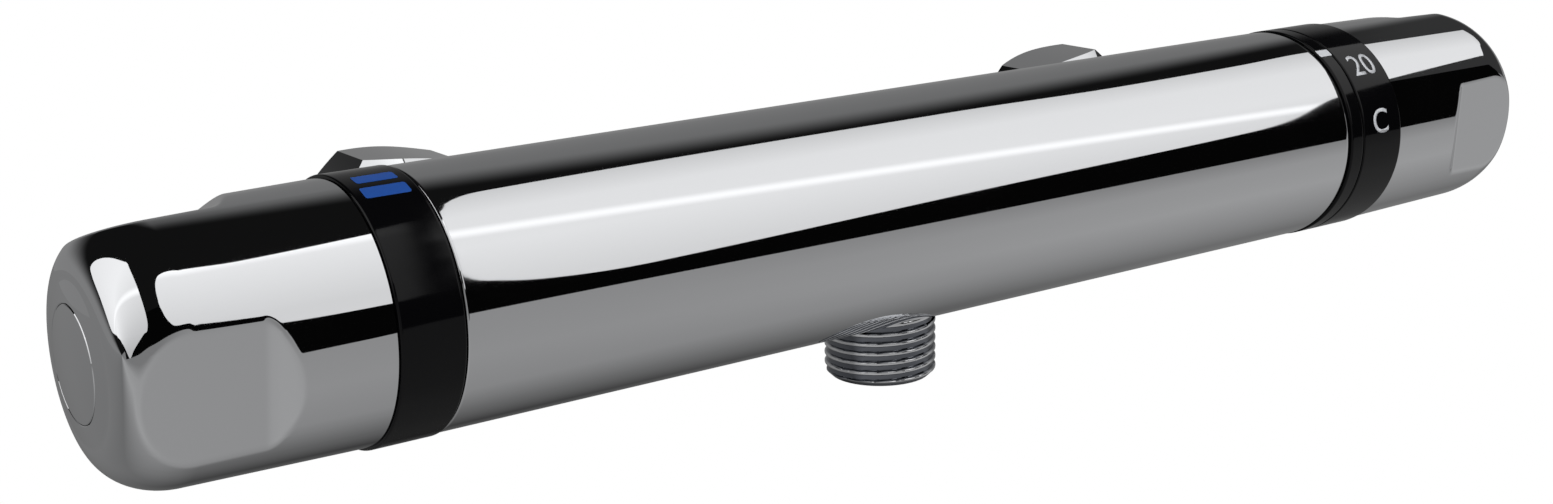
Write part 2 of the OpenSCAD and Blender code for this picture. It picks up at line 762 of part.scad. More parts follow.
// A hexagon nut that spins on its tail and takes a pipe thread from the wall
module union_nut(x, turn) {
    corner_r = nut_af / 2 / cos(30);
    front_r = corner_r - front_chamfer_share * nut_front_chamfer;
    rear_r = corner_r - rear_chamfer_share * nut_rear_chamfer;
    relief_z = nut_len - nut_thread_len;
    color(chrome) to_wall(x, nut_front_y) difference() {
        rotate(turn) intersection() {
            hex_rod(nut_af, 0, nut_len);
            rotate_extrude() polygon([
                [0, 0], [front_r, 0], [corner_r, nut_front_chamfer],
                [corner_r, nut_len - nut_rear_chamfer], [rear_r, nut_len], [0, nut_len]
            ]);
        }
        rod(tail_neck_r + run_gap, -cut, nut_len);
        rod(nut_thread_r + thread_depth, nut_front_t, relief_z);
        rod(nut_thread_r, relief_z - cut, nut_len + cut);
        translate([0, 0, relief_z]) thread_grooves(nut_thread_r, nut_thread_len, 1);
    }
}

module union_nut_hot() {
    union_nut(hot_x, hot_nut_turn);
}

module union_nut_cold() {
    union_nut(cold_x, cold_nut_turn);
}

// The brass body of the flow valve, screwed into the bar's left end
module headwork_body() {
    color(brass) to_left(left_x) difference() {
        union() {
            rod(flow_bore_r - fit_gap, -headwork_len, cut);
            hex_rod(headwork_af, 0, flow_stop_z);
            rod(neck_r, flow_stop_z - cut, flow_neck_z);
        }
        rod(disc_bore_r, -headwork_len - cut, -headwork_len + disc_bore_depth);
        rod(spindle_r + run_gap, -headwork_len, flow_neck_z + cut);
        for (k = [0:window_n - 1]) rotate([0, 0, 360 * k / window_n]) translate([0, 0, window_z])
            rotate([90, 0, 0]) cylinder(r = window_r, h = flow_bore_r + cut);
        rod_groove(flow_bore_r - fit_gap, seal_groove, -2 * seal_groove, -seal_groove + fit_gap);
    }
}

// A groove of a given depth round a bar
module rod_groove(r, depth, z0, z1) {
    tube(r + cut, r - depth, z0, z1);
}

module headwork_seal() {
    z = (fit_gap - 3 * seal_groove) / 2;
    color(rubber) to_left(left_x) seal(flow_bore_r - fit_gap - seal_r, z, seal_r - fit_gap);
}

// The rubber seat that presses the ceramic discs together
module disc_seat() {
    color(rubber) to_left(left_x) tube(disc_r, seat_bore_r, disc_seat_z, disc_seat_z + seat_t);
}

// A ceramic disc with two opposite openings
module ceramic_disc(z, turn) {
    difference() {
        rod(disc_r, z, z + disc_t);
        for (side = [0, 180])
            rotate([0, 0, turn + side - disc_hole_angle / 2]) translate([0, 0, z - cut])
            rotate_extrude(angle = disc_hole_angle) translate([disc_hole_in_r, 0])
            square([disc_hole_out_r - disc_hole_in_r, disc_t + 2 * cut]);
    }
}

module fixed_disc() {
    color(ceramic) to_left(left_x) ceramic_disc(fixed_disc_z, 0);
}

module moving_disc() {
    color(ceramic) to_left(left_x) difference() {
        ceramic_disc(moving_disc_z, 90);
        for (side = [-1, 1]) translate([side * peg_offset, 0, moving_disc_z + disc_t - peg_len - fit_gap])
            cylinder(r = peg_r + fit_gap, h = peg_len + cut);
    }
}

// A shaft's upper end: round, then a hexagon with a tapped hole for the knob's screw
module spindle_top(round_end, tip, clip_z) {
    difference() {
        union() {
            rod(spindle_r, 0, round_end);
            hex_rod(drive_af, round_end - cut, tip);
        }
        rod(screw_r + fit_gap, tip - screw_len, tip + cut);
        rod_groove(spindle_r, clip_groove, clip_z, clip_z + clip_t + 2 * fit_gap);
        for (share = seal_place_shares)
            rod_groove(spindle_r, small_groove, share * small_groove, (share + 1) * small_groove);
    }
}

// The flow knob's spindle, with the yoke that turns the moving disc
module flow_spindle() {
    color(brass) to_left(left_x) union() {
        spindle_top(flow_spindle_end - hub_len - free_gap, flow_spindle_end, flow_neck_z + free_gap);
        rod(spindle_r, yoke_z, cut);
        rod(disc_r, shoulder_z, shoulder_z + shoulder_t);
        intersection() {
            rod(disc_r, yoke_z, yoke_z + yoke_t);
            translate([-disc_r, -yoke_w / 2, yoke_z]) cube([2 * disc_r, yoke_w, yoke_t]);
        }
        for (side = [-1, 1])
            translate([side * peg_offset, 0, 0]) rod(peg_r, yoke_z - peg_len, yoke_z + yoke_t / 2);
    }
}

// Sealing rings in the grooves of a spindle
module spindle_seals() {
    color(rubber) for (share = seal_place_shares)
        seal(spindle_r - small_seal_r, (share + 1 / 2) * small_groove, small_seal_r - fit_gap);
}

module flow_spindle_seals() {
    to_left(left_x) spindle_seals();
}

// An open clip that holds a spindle in its neck
module spindle_clip(z) {
    color(steel) difference() {
        tube(clip_r, spindle_r - clip_groove + fit_gap, z + fit_gap, z + fit_gap + clip_t);
        translate([-clip_r, -spindle_r / 2, z - cut]) cube([clip_r, spindle_r, clip_t + 2 * cut]);
    }
}

module flow_spindle_clip() {
    to_left(left_x) spindle_clip(flow_neck_z + free_gap);
}

// A ring with two lugs between which a knob's rib can turn
module stop_ring(z, first, last) {
    color(white_plastic) translate([0, 0, z]) linear_extrude(stop_t) difference() {
        union() {
            circle(r = stop_r);
            intersection() {
                circle(r = stop_lug_r);
                for (a = [first - lug_shift, last + lug_shift]) rotate(a) polygon([
                    [0, 0], [2 * stop_lug_r, -2 * stop_lug_r * tan(lug_angle / 2)],
                    [2 * stop_lug_r, 2 * stop_lug_r * tan(lug_angle / 2)]
                ]);
            }
        }
        circle(r = neck_r + fit_gap);
    }
}

module flow_stop_ring() {
    to_left(left_x) stop_ring(flow_stop_z, rib_turn, rib_turn + flow_range);
}

module flow_ring() {
    color(black) to_left(left_x) band(flow_ring_r, ring_bore_r, free_gap, flow_ring_end, ring_chamfer);
}

// Height of a knob's domed face at a distance from its axis
function dome_z(tip, r) = tip - knob_dome * pow(r / knob_face_r, 2);

// The outline of a knob, drawn inside its surface by an inset
function knob_outline(length, inset) = concat(
    [[0, inset], [knob_r - inset, inset]],
    [for (i = [0:round_steps]) let (a = 90 * i / round_steps) [
        knob_face_r - inset + knob_round_r * cos(a),
        length - knob_dome - knob_round_len + (knob_round_len - inset) * sin(a)
    ]],
    [[0, length - inset]]
);

// The outside of a knob: a tapered round bar with three scoops and a rounded end, one facing -Y
module knob_form(length, inset, turn) {
    start = length - scoop_len;
    difference() {
        rotate_extrude() polygon(knob_outline(length, inset));
        for (k = [0:2]) rotate([0, 0, turn + 120 * k]) translate([knob_r, 0, 0]) rotate([90, 0, -90])
            linear_extrude(2 * knob_r) polygon([
                [knob_r + inset + cut, start - inset], [knob_r, start - inset],
                [scoop_r - inset, start + scoop_ramp - inset],
                [scoop_r - inset, length + cut], [knob_r + inset + cut, length + cut]
            ]);
    }
}

// A knob: a shell with a spigot for its ring, a hub for its spindle and a seat for its cap
module knob(length, turn) {
    cap_z = length - cap_depth;
    hub_floor_z = length - hub_floor_depth;
    spigot_r = ring_bore_r - fit_gap;
    spigot_bore_r = scoop_r - knob_wall - fit_gap;
    color(chrome) difference() {
        union() {
            difference() {
                union() {
                    knob_form(length, 0, turn);
                    rod(spigot_r, -spigot_len, cut);
                }
                rod(spigot_bore_r, -spigot_len - cut, knob_wall + cut);
                knob_form(length, knob_wall, turn);
            }
            rod(hub_r, hub_floor_z - hub_len, cap_z);
            rod(cap_r + knob_wall, hub_floor_z, cap_z);
            rotate(rib_turn) translate([rib_in_r, -rib_w / 2, -stop_offset])
                cube([spigot_r - rib_in_r - fit_gap, rib_w, stop_t]);
        }
        rod(cap_r + 2 * fit_gap, cap_z, length + cut);
        rod(screw_head_r + fit_gap, length - screw_seat_depth, length);
        rod(screw_r + fit_gap, hub_floor_z - cut, length);
        hex_rod(drive_af + 2 * fit_gap, hub_floor_z - hub_len - cut, hub_floor_z);
    }
}

// The flush cap over a knob's screw
module knob_cap(length) {
    z = length - cap_depth;
    color(chrome) rotate_extrude() polygon(concat(
        [[0, z], [cap_r, z]],
        [for (i = [0:4]) let (r = cap_r * (1 - i / 4)) [r, dome_z(length, r)]]
    ));
}

// The socket screw that holds a knob on its spindle
module knob_screw(length) {
    seat = length - screw_seat_depth;
    color(steel) difference() {
        union() {
            rod(screw_r, seat - screw_len + fit_gap, seat + screw_head_h / 2);
            rod(screw_head_r, seat, seat + screw_head_h);
        }
        hex_rod(screw_head_r, seat + screw_head_h / 2, seat + screw_head_h + cut);
    }
}

module flow_knob() {
    to_left(left_x - flow_ring_end) knob(flow_knob_len, -flow_scoop_turn);
}

module flow_knob_screw() {
    to_left(left_x - flow_ring_end) knob_screw(flow_knob_len);
}

module flow_knob_cap() {
    to_left(left_x - flow_ring_end) knob_cap(flow_knob_len);
}

// The cartridge's base, with the nose in the mixed water passage and the hot seat on its rim
module cartridge_base() {
    color(white_plastic) to_right(right_x) difference() {
        union() {
            rod(nose_r, base_z - nose_len, base_z + cut);
            rod(waist_r - free_gap, base_z, housing_z);
            rod(mix_r - fit_gap, base_z, rim_z);
        }
        rod(nose_bore_r, base_z - nose_len - cut, rim_z);
        rod(mix_seat_r - free_gap, housing_z - base_len / 2, rim_z + cut);
        rod_groove(nose_r, seal_groove, base_z - 2 * seal_groove, base_z - seal_groove);
    }
}

// The cartridge's housing, with hot and cold windows and a hexagonal bore for the drive nut
module cartridge_housing() {
    color(brass) to_right(right_x) difference() {
        rod(land_r, housing_z + fit_gap, -housing_top);
        rod_groove(land_r, land_r - waist_r, housing_z, spool_hub_z);
        rod_groove(land_r, land_r - waist_r, middle_land_z, outer_land_z);
        rod_groove(land_r, seal_groove, middle_seal_z - seal_r, middle_seal_z + seal_r);
        rod_groove(land_r, seal_groove, outer_seal_z - seal_r, outer_seal_z + seal_r);
        rod(mix_r, housing_z, cold_seat_z);
        rod(mix_seat_r, cold_seat_z - cut, cold_seat_z + cold_seat_t);
        hex_rod(drive_nut_af + 2 * free_gap, cold_seat_z + cold_seat_t - cut, -housing_top + cut);
        for (k = [0:slot_n - 1], z = [rim_z - slot_len / 3, cold_seat_z - slot_len])
            rotate([0, 0, 360 * k / slot_n]) translate([mix_seat_r, -slot_w / 2, z])
                cube([land_r - mix_seat_r, slot_w, slot_len]);
    }
}

// The cartridge's three sealing rings
module cartridge_seals() {
    color(rubber) to_right(right_x) {
        seal(nose_r - seal_r, nose_seal_z, seal_r - fit_gap);
        seal(land_r - seal_r, middle_seal_z, seal_r - fit_gap);
        seal(land_r - seal_r, outer_seal_z, seal_r - fit_gap);
    }
}

// The bonnet that closes the housing and carries the temperature spindle
module cartridge_bonnet() {
    color(brass) to_right(right_x) difference() {
        union() {
            rod(land_r, bonnet_z, bonnet_z + bonnet_t);
            rod(neck_r, bonnet_z + bonnet_t - cut, temp_neck_z);
        }
        rod(temp_flange_r + free_gap, bonnet_z - cut, bonnet_z + bonnet_pocket);
        rod(spindle_r + run_gap, bonnet_z, temp_neck_z + cut);
    }
}

// The nut that clamps the cartridge in the bar and carries the index ring
module cartridge_nut() {
    color(brass) to_right(right_x) difference() {
        union() {
            rod(gland_r, gland_z, cut);
            rod(ring_bore_r - fit_gap, fit_gap, index_w);
            hex_rod(gland_af, index_w - cut, index_w + gland_hex_h - fit_gap);
        }
        rod(neck_r + fit_gap, gland_z - cut, temp_stop_z);
    }
}

// The spool that slides between the hot seat and the cold seat
module mixing_spool() {
    color(white_plastic) to_right(right_x) difference() {
        union() {
            tube(mix_r - run_gap, spool_bore_r, spool_z, spool_end_z);
            rod(spool_bore_r + spool_wall / 2, web_z, web_z + web_t);
            rod(spool_hub_r, spool_hub_z, spool_hub_z + spool_hub_len);
        }
        rod(wax_r + fit_gap, spool_hub_z - cut, spool_hub_z + spool_hub_len + cut);
        for (k = [0:web_hole_n - 1]) rotate([0, 0, 360 * k / web_hole_n])
            translate([(spool_hub_r + spool_bore_r) / 2, 0, web_z - cut])
            cylinder(r = web_hole_r, h = web_t + 2 * cut, $fn = 32);
    }
}

// The wax capsule with its piston
module wax_element() {
    color(brass) to_right(right_x) union() {
        rod(wax_r, wax_collar_z - wax_front_len, wax_neck_z);
        rod(wax_collar_r, wax_collar_z + fit_gap, wax_collar_z + wax_collar_t);
        rod(wax_neck_r, wax_neck_z - cut, piston_z);
        rod(piston_r, piston_z - cut, piston_z + piston_len);
    }
}

// The spring that pushes the spool away from the base
module return_spring() {
    near_z = housing_z - base_len / 2 + fit_gap;
    color(steel) to_right(right_x) coil(return_spring_r, return_wire_r, near_z, web_z - fit_gap, return_turns);
}

// The cup that takes the piston and yields when the wax runs too hot
module overload_cup() {
    color(brass) to_right(right_x) difference() {
        union() {
            rod(cup_r, cup_z, cup_z + cup_len);
            rod(cup_flange_r, cup_z, cup_flange_z);
        }
        rod(piston_r + fit_gap, cup_z - cut, cup_z + cup_seat + fit_gap);
    }
}

module overload_spring() {
    near_z = cup_flange_z + fit_gap;
    far_z = drive_ceiling_z - fit_gap;
    color(steel) to_right(right_x) coil(overload_spring_r, overload_wire_r, near_z, far_z, overload_turns);
}

// The nut on the temperature spindle's thread, which slides and can't turn
module drive_nut() {
    color(brass) to_right(right_x) difference() {
        hex_rod(drive_nut_af, drive_nut_z, drive_nut_z + drive_nut_len);
        rod(drive_nut_bore_r, drive_nut_z - cut, drive_ceiling_z);
        rod(lead_r + run_gap, drive_nut_z, drive_nut_z + drive_nut_len + cut);
    }
}

// The temperature knob's spindle, with its thread in the drive nut
module temp_spindle() {
    color(brass) to_right(right_x) union() {
        rod(lead_r, lead_z, lead_top_z + temp_flange_t / 2);
        rod(temp_flange_r, lead_top_z, lead_top_z + temp_flange_t);
        rod(spindle_r, lead_top_z, cut);
        spindle_top(temp_spindle_end - hub_len - free_gap, temp_spindle_end, temp_neck_z + free_gap);
    }
}

module temp_spindle_seals() {
    to_right(right_x) spindle_seals();
}

module temp_spindle_clip() {
    to_right(right_x) spindle_clip(temp_neck_z + free_gap);
}

module temp_stop_ring() {
    to_right(right_x) stop_ring(temp_stop_z, rib_turn - cold_range, rib_turn + hot_range);
}

module index_ring() {
    color(black) to_right(right_x) band(dial_ring_r, ring_bore_r, fit_gap, index_w, ring_chamfer);
}

module dial_ring() {
    near_z = index_w + free_gap;
    color(black) to_right(right_x) band(dial_ring_r, ring_bore_r, near_z, dial_ring_end, ring_chamfer);
}

module temp_knob() {
    to_right(right_x + dial_ring_end) knob(temp_knob_len, temp_scoop_turn);
}

module temp_knob_screw() {
    to_right(right_x + dial_ring_end) knob_screw(temp_knob_len);
}

module temp_knob_cap() {
    to_right(right_x + dial_ring_end) knob_cap(temp_knob_len);
}

valve_body();
outlet_nipple();
outlet_seal();
inlet_tail_hot();
inlet_tail_cold();
inlet_tail_seals();
filter_washers();
filter_gauzes();
check_housing_hot();
check_housing_cold();
check_poppet_hot();
check_poppet_cold();
check_spring_hot();
check_spring_cold();
union_nut_hot();
union_nut_cold();
headwork_body();
headwork_seal();
disc_seat();
fixed_disc();
moving_disc();
flow_spindle();
flow_spindle_seals();
flow_spindle_clip();
flow_stop_ring();
flow_ring();
flow_knob();
flow_knob_screw();
flow_knob_cap();
cartridge_base();
cartridge_housing();
cartridge_seals();
cartridge_bonnet();
cartridge_nut();
mixing_spool();
wax_element();
return_spring();
overload_cup();
overload_spring();
drive_nut();
temp_spindle();
temp_spindle_seals();
temp_spindle_clip();
temp_stop_ring();
index_ring();
dial_ring();
temp_knob();
temp_knob_screw();
temp_knob_cap();
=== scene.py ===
import math

import bmesh
import bpy
from mathutils import Matrix, Vector


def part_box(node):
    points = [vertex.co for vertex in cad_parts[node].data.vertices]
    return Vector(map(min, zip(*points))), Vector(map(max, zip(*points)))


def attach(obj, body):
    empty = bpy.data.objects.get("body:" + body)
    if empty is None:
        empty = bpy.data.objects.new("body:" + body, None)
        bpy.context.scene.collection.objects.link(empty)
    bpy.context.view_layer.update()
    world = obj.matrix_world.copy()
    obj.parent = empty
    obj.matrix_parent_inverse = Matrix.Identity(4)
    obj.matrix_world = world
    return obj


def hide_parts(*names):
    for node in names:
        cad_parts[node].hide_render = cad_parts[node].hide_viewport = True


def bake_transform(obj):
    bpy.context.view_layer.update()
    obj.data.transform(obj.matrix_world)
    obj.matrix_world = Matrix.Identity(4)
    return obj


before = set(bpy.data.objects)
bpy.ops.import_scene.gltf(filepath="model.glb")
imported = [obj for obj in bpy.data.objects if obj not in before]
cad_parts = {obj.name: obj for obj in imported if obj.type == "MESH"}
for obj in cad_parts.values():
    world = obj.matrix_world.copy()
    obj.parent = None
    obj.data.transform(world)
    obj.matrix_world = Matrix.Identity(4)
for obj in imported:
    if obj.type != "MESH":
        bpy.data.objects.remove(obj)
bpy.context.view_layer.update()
MM = 0.001

# The bar: one brass casting, bored from both ends, turned outside and chrome plated.
# Two short bosses at its back take the inlet tails and a recess below takes the outlet.
bar_low, bar_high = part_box("valve_body")
bar_r = bar_high.z
axis_y = bar_low.y + bar_r
edge_ease = 0.6 * MM
left_ease = 0.35 * MM
right_ease = 1.6 * MM
flow_bore_r = 10.5 * MM
flow_bore_depth = 36 * MM
temp_bore_r = 17 * MM
temp_bore_depth = 64 * MM
gland_r = 17.95 * MM
gland_depth = 5.9 * MM
mixed_r = 6.2 * MM
boss_r = 12.5 * MM
boss_core_r = 0.5 * MM
boss_root = axis_y + temp_bore_r + 2 * MM
boss_ease = 0.8 * MM
tail_r = 9.05 * MM
tail_floor = 17.75 * MM
outlet_low, outlet_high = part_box("outlet_nipple")
outlet_x = (outlet_low.x + outlet_high.x) / 2
outlet_recess_r = 10.55 * MM
outlet_recess = 3.4 * MM
overrun = 1 * MM
inlets = {"hot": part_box("union_nut_hot"), "cold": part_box("union_nut_cold")}
inlet_x = {side: (low.x + high.x) / 2 for side, (low, high) in inlets.items()}
bar_facets = 192
bore_facets = 96


def eased(points, radius, steps=4):
    """A closed outline with each corner replaced by a short curve, held flat on both sides of it.
    A corner's own radius may stand after its two coordinates."""
    longest_share = 0.45
    hold_share = 0.05
    hold = 0.25 * radius
    out = []
    for i, corner in enumerate(points):
        before, after = points[i - 1], points[(i + 1) % len(points)]
        a, p, b = (Vector(q[:2]) for q in (before, corner, after))
        own = corner[2] if len(corner) > 2 else radius
        reach = min(own, longest_share * (a - p).length, longest_share * (b - p).length)
        start = p + (a - p).normalized() * reach
        end = p + (b - p).normalized() * reach
        out.append(tuple(start + (start - p).normalized() * min(hold, hold_share * (a - p).length)))
        for k in range(steps + 1):
            t = k / steps
            out.append(tuple(start * (1 - t) ** 2 + p * 2 * t * (1 - t) + end * t ** 2))
        out.append(tuple(end + (end - p).normalized() * min(hold, hold_share * (b - p).length)))
    return out


def evenly(count):
    """Angles of one full turn."""
    return [2 * math.pi * k / count for k in range(count)]


def round_bar(along, radius, angle):
    """A point about the bar's axis: angles start at the front and rise over the top."""
    return (along, axis_y - radius * math.cos(angle), radius * math.sin(angle))


def round_inlet(x):
    """Points about an inlet's axis, which runs to the wall."""
    return lambda along, radius, angle: (x + radius * math.cos(angle), along, radius * math.sin(angle))


def round_outlet(along, radius, angle):
    """Points about the outlet's axis."""
    return (outlet_x + radius * math.cos(angle), axis_y + radius * math.sin(angle), along)


weld_gap = 1e-7
thin_gap = 1e-8
crease_angle = math.radians(32)


def smooth_over(mesh):
    """Smooth shading that stops at real edges."""
    mesh.shade_smooth()
    mesh.set_sharp_from_angle(angle=crease_angle)


def turned(name, path, angles, place, ring=True):
    """A surface swept round an axis: path gives each angle's outline of (along, radius)."""
    rows = [path(angle) for angle in angles]
    steps = len(rows[0])
    made = bmesh.new()
    points = [[made.verts.new(place(a, r, angle)) for a, r in row] for row, angle in zip(rows, angles)]
    for i, row in enumerate(points):
        following = points[(i + 1) % len(points)]
        for k in range(steps if ring else steps - 1):
            m = (k + 1) % steps
            made.faces.new((row[k], row[m], following[m], following[k]))
    bmesh.ops.remove_doubles(made, verts=made.verts, dist=weld_gap)
    bmesh.ops.dissolve_degenerate(made, edges=made.edges, dist=thin_gap)
    bmesh.ops.recalc_face_normals(made, faces=made.faces)
    mesh = bpy.data.meshes.new(name)
    made.to_mesh(mesh)
    made.free()
    smooth_over(mesh)
    piece = bpy.data.objects.new(name, mesh)
    bpy.context.scene.collection.objects.link(piece)
    return piece


def settle(piece, modifier):
    """Runs a modifier and keeps its result as a plain mesh."""
    bpy.context.view_layer.update()
    evaluated = piece.evaluated_get(bpy.context.evaluated_depsgraph_get())
    mesh = bpy.data.meshes.new_from_object(evaluated)
    piece.modifiers.remove(modifier)
    piece.data = mesh


def combine(piece, other, operation):
    """Joins other to piece, or cuts it out, and removes other."""
    step = piece.modifiers.new(operation.lower(), "BOOLEAN")
    step.operation = operation
    step.object = other
    step.solver = "EXACT"
    settle(piece, step)
    bpy.data.objects.remove(other)
    smooth_over(piece.data)


def hex_colour(code):
    """An sRGB hex colour as linear values for a shader."""
    parts = [int(code[i:i + 2], 16) / 255 for i in (1, 3, 5)]
    return [c / 12.92 if c <= 0.04045 else ((c + 0.055) / 1.055) ** 2.4 for c in parts] + [1.0]


def add(tree, kind, settings=None, inputs=None):
    """Adds a node, sets its settings and fills its inputs. An input takes a value, a socket, or a node,
    whose first output in use it is linked to."""
    node = tree.nodes.new(kind)
    for key, value in (settings or {}).items():
        setattr(node, key, value)
    for key, value in (inputs or {}).items():
        if isinstance(value, bpy.types.Node):
            value = next(socket for socket in value.outputs if socket.enabled)
        if isinstance(value, bpy.types.NodeSocket):
            tree.links.new(value, node.inputs[key])
        else:
            node.inputs[key].default_value = value
    return node


def new_material(name):
    """An empty material, its nodes and the object's own coordinates."""
    material = bpy.data.materials.new(name)
    material.use_nodes = True
    material.node_tree.nodes.clear()
    return material, material.node_tree, add(material.node_tree, "ShaderNodeTexCoord").outputs["Object"]


# Bright chrome plate over polished brass: a mirror with a slightly uneven gloss where it was buffed.
def chrome_plate():
    material, tree, place = new_material("chrome_plate")
    patch = 16.7 * MM
    buffing = add(tree, "ShaderNodeTexNoise", None, {"Vector": place, "Scale": 1 / patch, "Detail": 4.0})
    gloss = add(tree, "ShaderNodeMapRange", None,
                {"Value": buffing.outputs["Fac"], "From Min": 0.3, "From Max": 0.7,
                 "To Min": 0.015, "To Max": 0.045})
    shader = add(tree, "ShaderNodeBsdfPrincipled", None,
                 {"Base Color": hex_colour("#E6E7E9"), "Metallic": 1.0, "Roughness": gloss})
    add(tree, "ShaderNodeOutputMaterial", None, {"Surface": shader})
    return material


def dress(piece, material, body, slot, *nodes):
    """Gives a piece its material and its body, and hides the CAD nodes that it stands for."""
    piece.data.materials.clear()
    piece.data.materials.append(material)
    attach(piece, body)
    if nodes:
        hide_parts(*nodes)


chrome = chrome_plate()
bar_profile = eased([
    (bar_low.x, flow_bore_r), (bar_low.x, bar_r, left_ease),
    (bar_high.x, bar_r, right_ease), (bar_high.x, gland_r),
    (bar_high.x - gland_depth, gland_r), (bar_high.x - gland_depth, temp_bore_r),
    (bar_high.x - temp_bore_depth, temp_bore_r), (bar_high.x - temp_bore_depth, mixed_r),
    (bar_low.x + flow_bore_depth, mixed_r), (bar_low.x + flow_bore_depth, flow_bore_r),
], edge_ease)
bar = turned("bar", lambda angle: bar_profile, evenly(bar_facets), round_bar)
boss_outline = eased([(boss_root, boss_core_r), (bar_high.y, boss_core_r), (bar_high.y, boss_r),
                      (boss_root, boss_r)], boss_ease)
boss_rim = [(a, r) for a, r in boss_outline if r > boss_r / 2]
boss_path = [(boss_rim[0][0], 0.0)] + boss_rim + [(boss_rim[-1][0], 0.0)]
hole_path = [(axis_y + tail_floor, 0.0), (axis_y + tail_floor, tail_r), (bar_high.y + overrun, tail_r),
             (bar_high.y + overrun, 0.0)]
for x in inlet_x.values():
    boss = turned("boss", lambda angle: boss_path, evenly(bore_facets), round_inlet(x), ring=False)
    combine(bar, boss, "UNION")
    hole = turned("hole", lambda angle: hole_path, evenly(bore_facets), round_inlet(x), ring=False)
    combine(bar, hole, "DIFFERENCE")
recess_path = [(-bar_r - overrun, 0.0), (-bar_r - overrun, outlet_recess_r),
               (-bar_r + outlet_recess, outlet_recess_r), (-bar_r + outlet_recess, 0.0)]
recess = turned("recess", lambda angle: recess_path, evenly(bore_facets), round_outlet, ring=False)
combine(bar, recess, "DIFFERENCE")
dress(bar, chrome, "fixed", "chrome", "valve_body")

# The inlets: a chromed tail is screwed into each boss and traps a hexagon union nut by its flange.
# The nut is forged brass with turned chamfers and a pipe thread cut inside, then chrome plated.
nut_low, nut_high = inlets["hot"]
nut_back = nut_high.y
nut_front = nut_low.y
nut_flat = 16.2 * MM
front_chamfer = 4.2 * MM
front_face_r = 14.3 * MM
rear_chamfer = 3.0 * MM
rear_chamfer_share = 1.2
facet_crown = 0.6 * MM
edge_hold = 0.3 * MM
nut_hole_r = 10.1 * MM
nut_wall = 3.0 * MM
union_crest_r = 12.06 * MM
union_len = 8.0 * MM
relief_gap = 0.2 * MM
pitch = 1.814 * MM
thread_depth = 1.16 * MM
nut_turn = {"hot": math.radians(52.6), "cold": math.radians(8.9)}
nut_angles = 240
union_rows = 48
facet_parts = 6
facet_rows = (0.1, 1, 3, 5, 5.9)


def nut_path(angle, turn):
    """A nut's outline at one angle: hexagon, turned chamfers and plain bore."""
    sixth = math.pi / 3
    off = (angle - turn + sixth / 2) % sixth - sixth / 2
    flat_r = nut_flat / math.cos(sixth / 2 - abs(off)) - facet_crown * (1 - 2 * abs(off) / sixth) ** 2
    corner_r = nut_flat / math.cos(sixth / 2)
    rear_face_r = corner_r - rear_chamfer_share * rear_chamfer
    front_r, rear_r = min(flat_r, front_face_r), min(flat_r, rear_face_r)
    front_edge = nut_front + front_chamfer * max(0.0, (flat_r - front_face_r) / (corner_r - front_face_r))
    rear_edge = nut_back - rear_chamfer * max(0.0, (flat_r - rear_face_r) / (corner_r - rear_face_r))
    outside = [(nut_front, nut_hole_r), (nut_front, front_r - edge_hold), (nut_front, front_r),
               (front_edge, flat_r)]
    outside += [(front_edge + (rear_edge - front_edge) * k / facet_parts, flat_r) for k in facet_rows]
    outside += [(rear_edge, flat_r), (nut_back, rear_r), (nut_back, rear_r - edge_hold)]
    bore = [(nut_back - union_len * k / union_rows, union_crest_r) for k in range(union_rows + 1)]
    relief_r = union_crest_r + thread_depth
    relief = [(nut_back - union_len - relief_gap, relief_r), (nut_front + nut_wall, relief_r),
              (nut_front + nut_wall, nut_hole_r)]
    return outside + bore + relief


def node_tree(name, *inputs):
    """An empty tree of geometry nodes, and the outputs of its named inputs, given as (name, kind)."""
    tree = bpy.data.node_groups.new(name, "GeometryNodeTree")
    tree.is_modifier = True
    tree.interface.new_socket("Geometry", in_out="OUTPUT", socket_type="NodeSocketGeometry")
    for label, kind in (("Geometry", "Geometry"),) + inputs:
        tree.interface.new_socket(label, in_out="INPUT", socket_type="NodeSocket" + kind)
    return tree, add(tree, "NodeGroupInput").outputs


def end_tree(tree, given, moved):
    """Ends a tree of geometry nodes: real geometry with its material."""
    real = add(tree, "GeometryNodeRealizeInstances", None, {"Geometry": moved})
    coated = add(tree, "GeometryNodeSetMaterial", None, {"Geometry": real, "Material": given["Material"]})
    add(tree, "NodeGroupOutput", None, {"Geometry": coated})


def shape_by(piece, tree, values):
    """Runs a piece's mesh through a tree of geometry nodes with its named inputs set."""
    step = piece.modifiers.new(tree.name, "NODES")
    step.node_group = tree
    for socket in tree.interface.items_tree:
        if socket.in_out == "INPUT" and socket.name in values:
            step[socket.identifier] = values[socket.name]
    settle(piece, step)


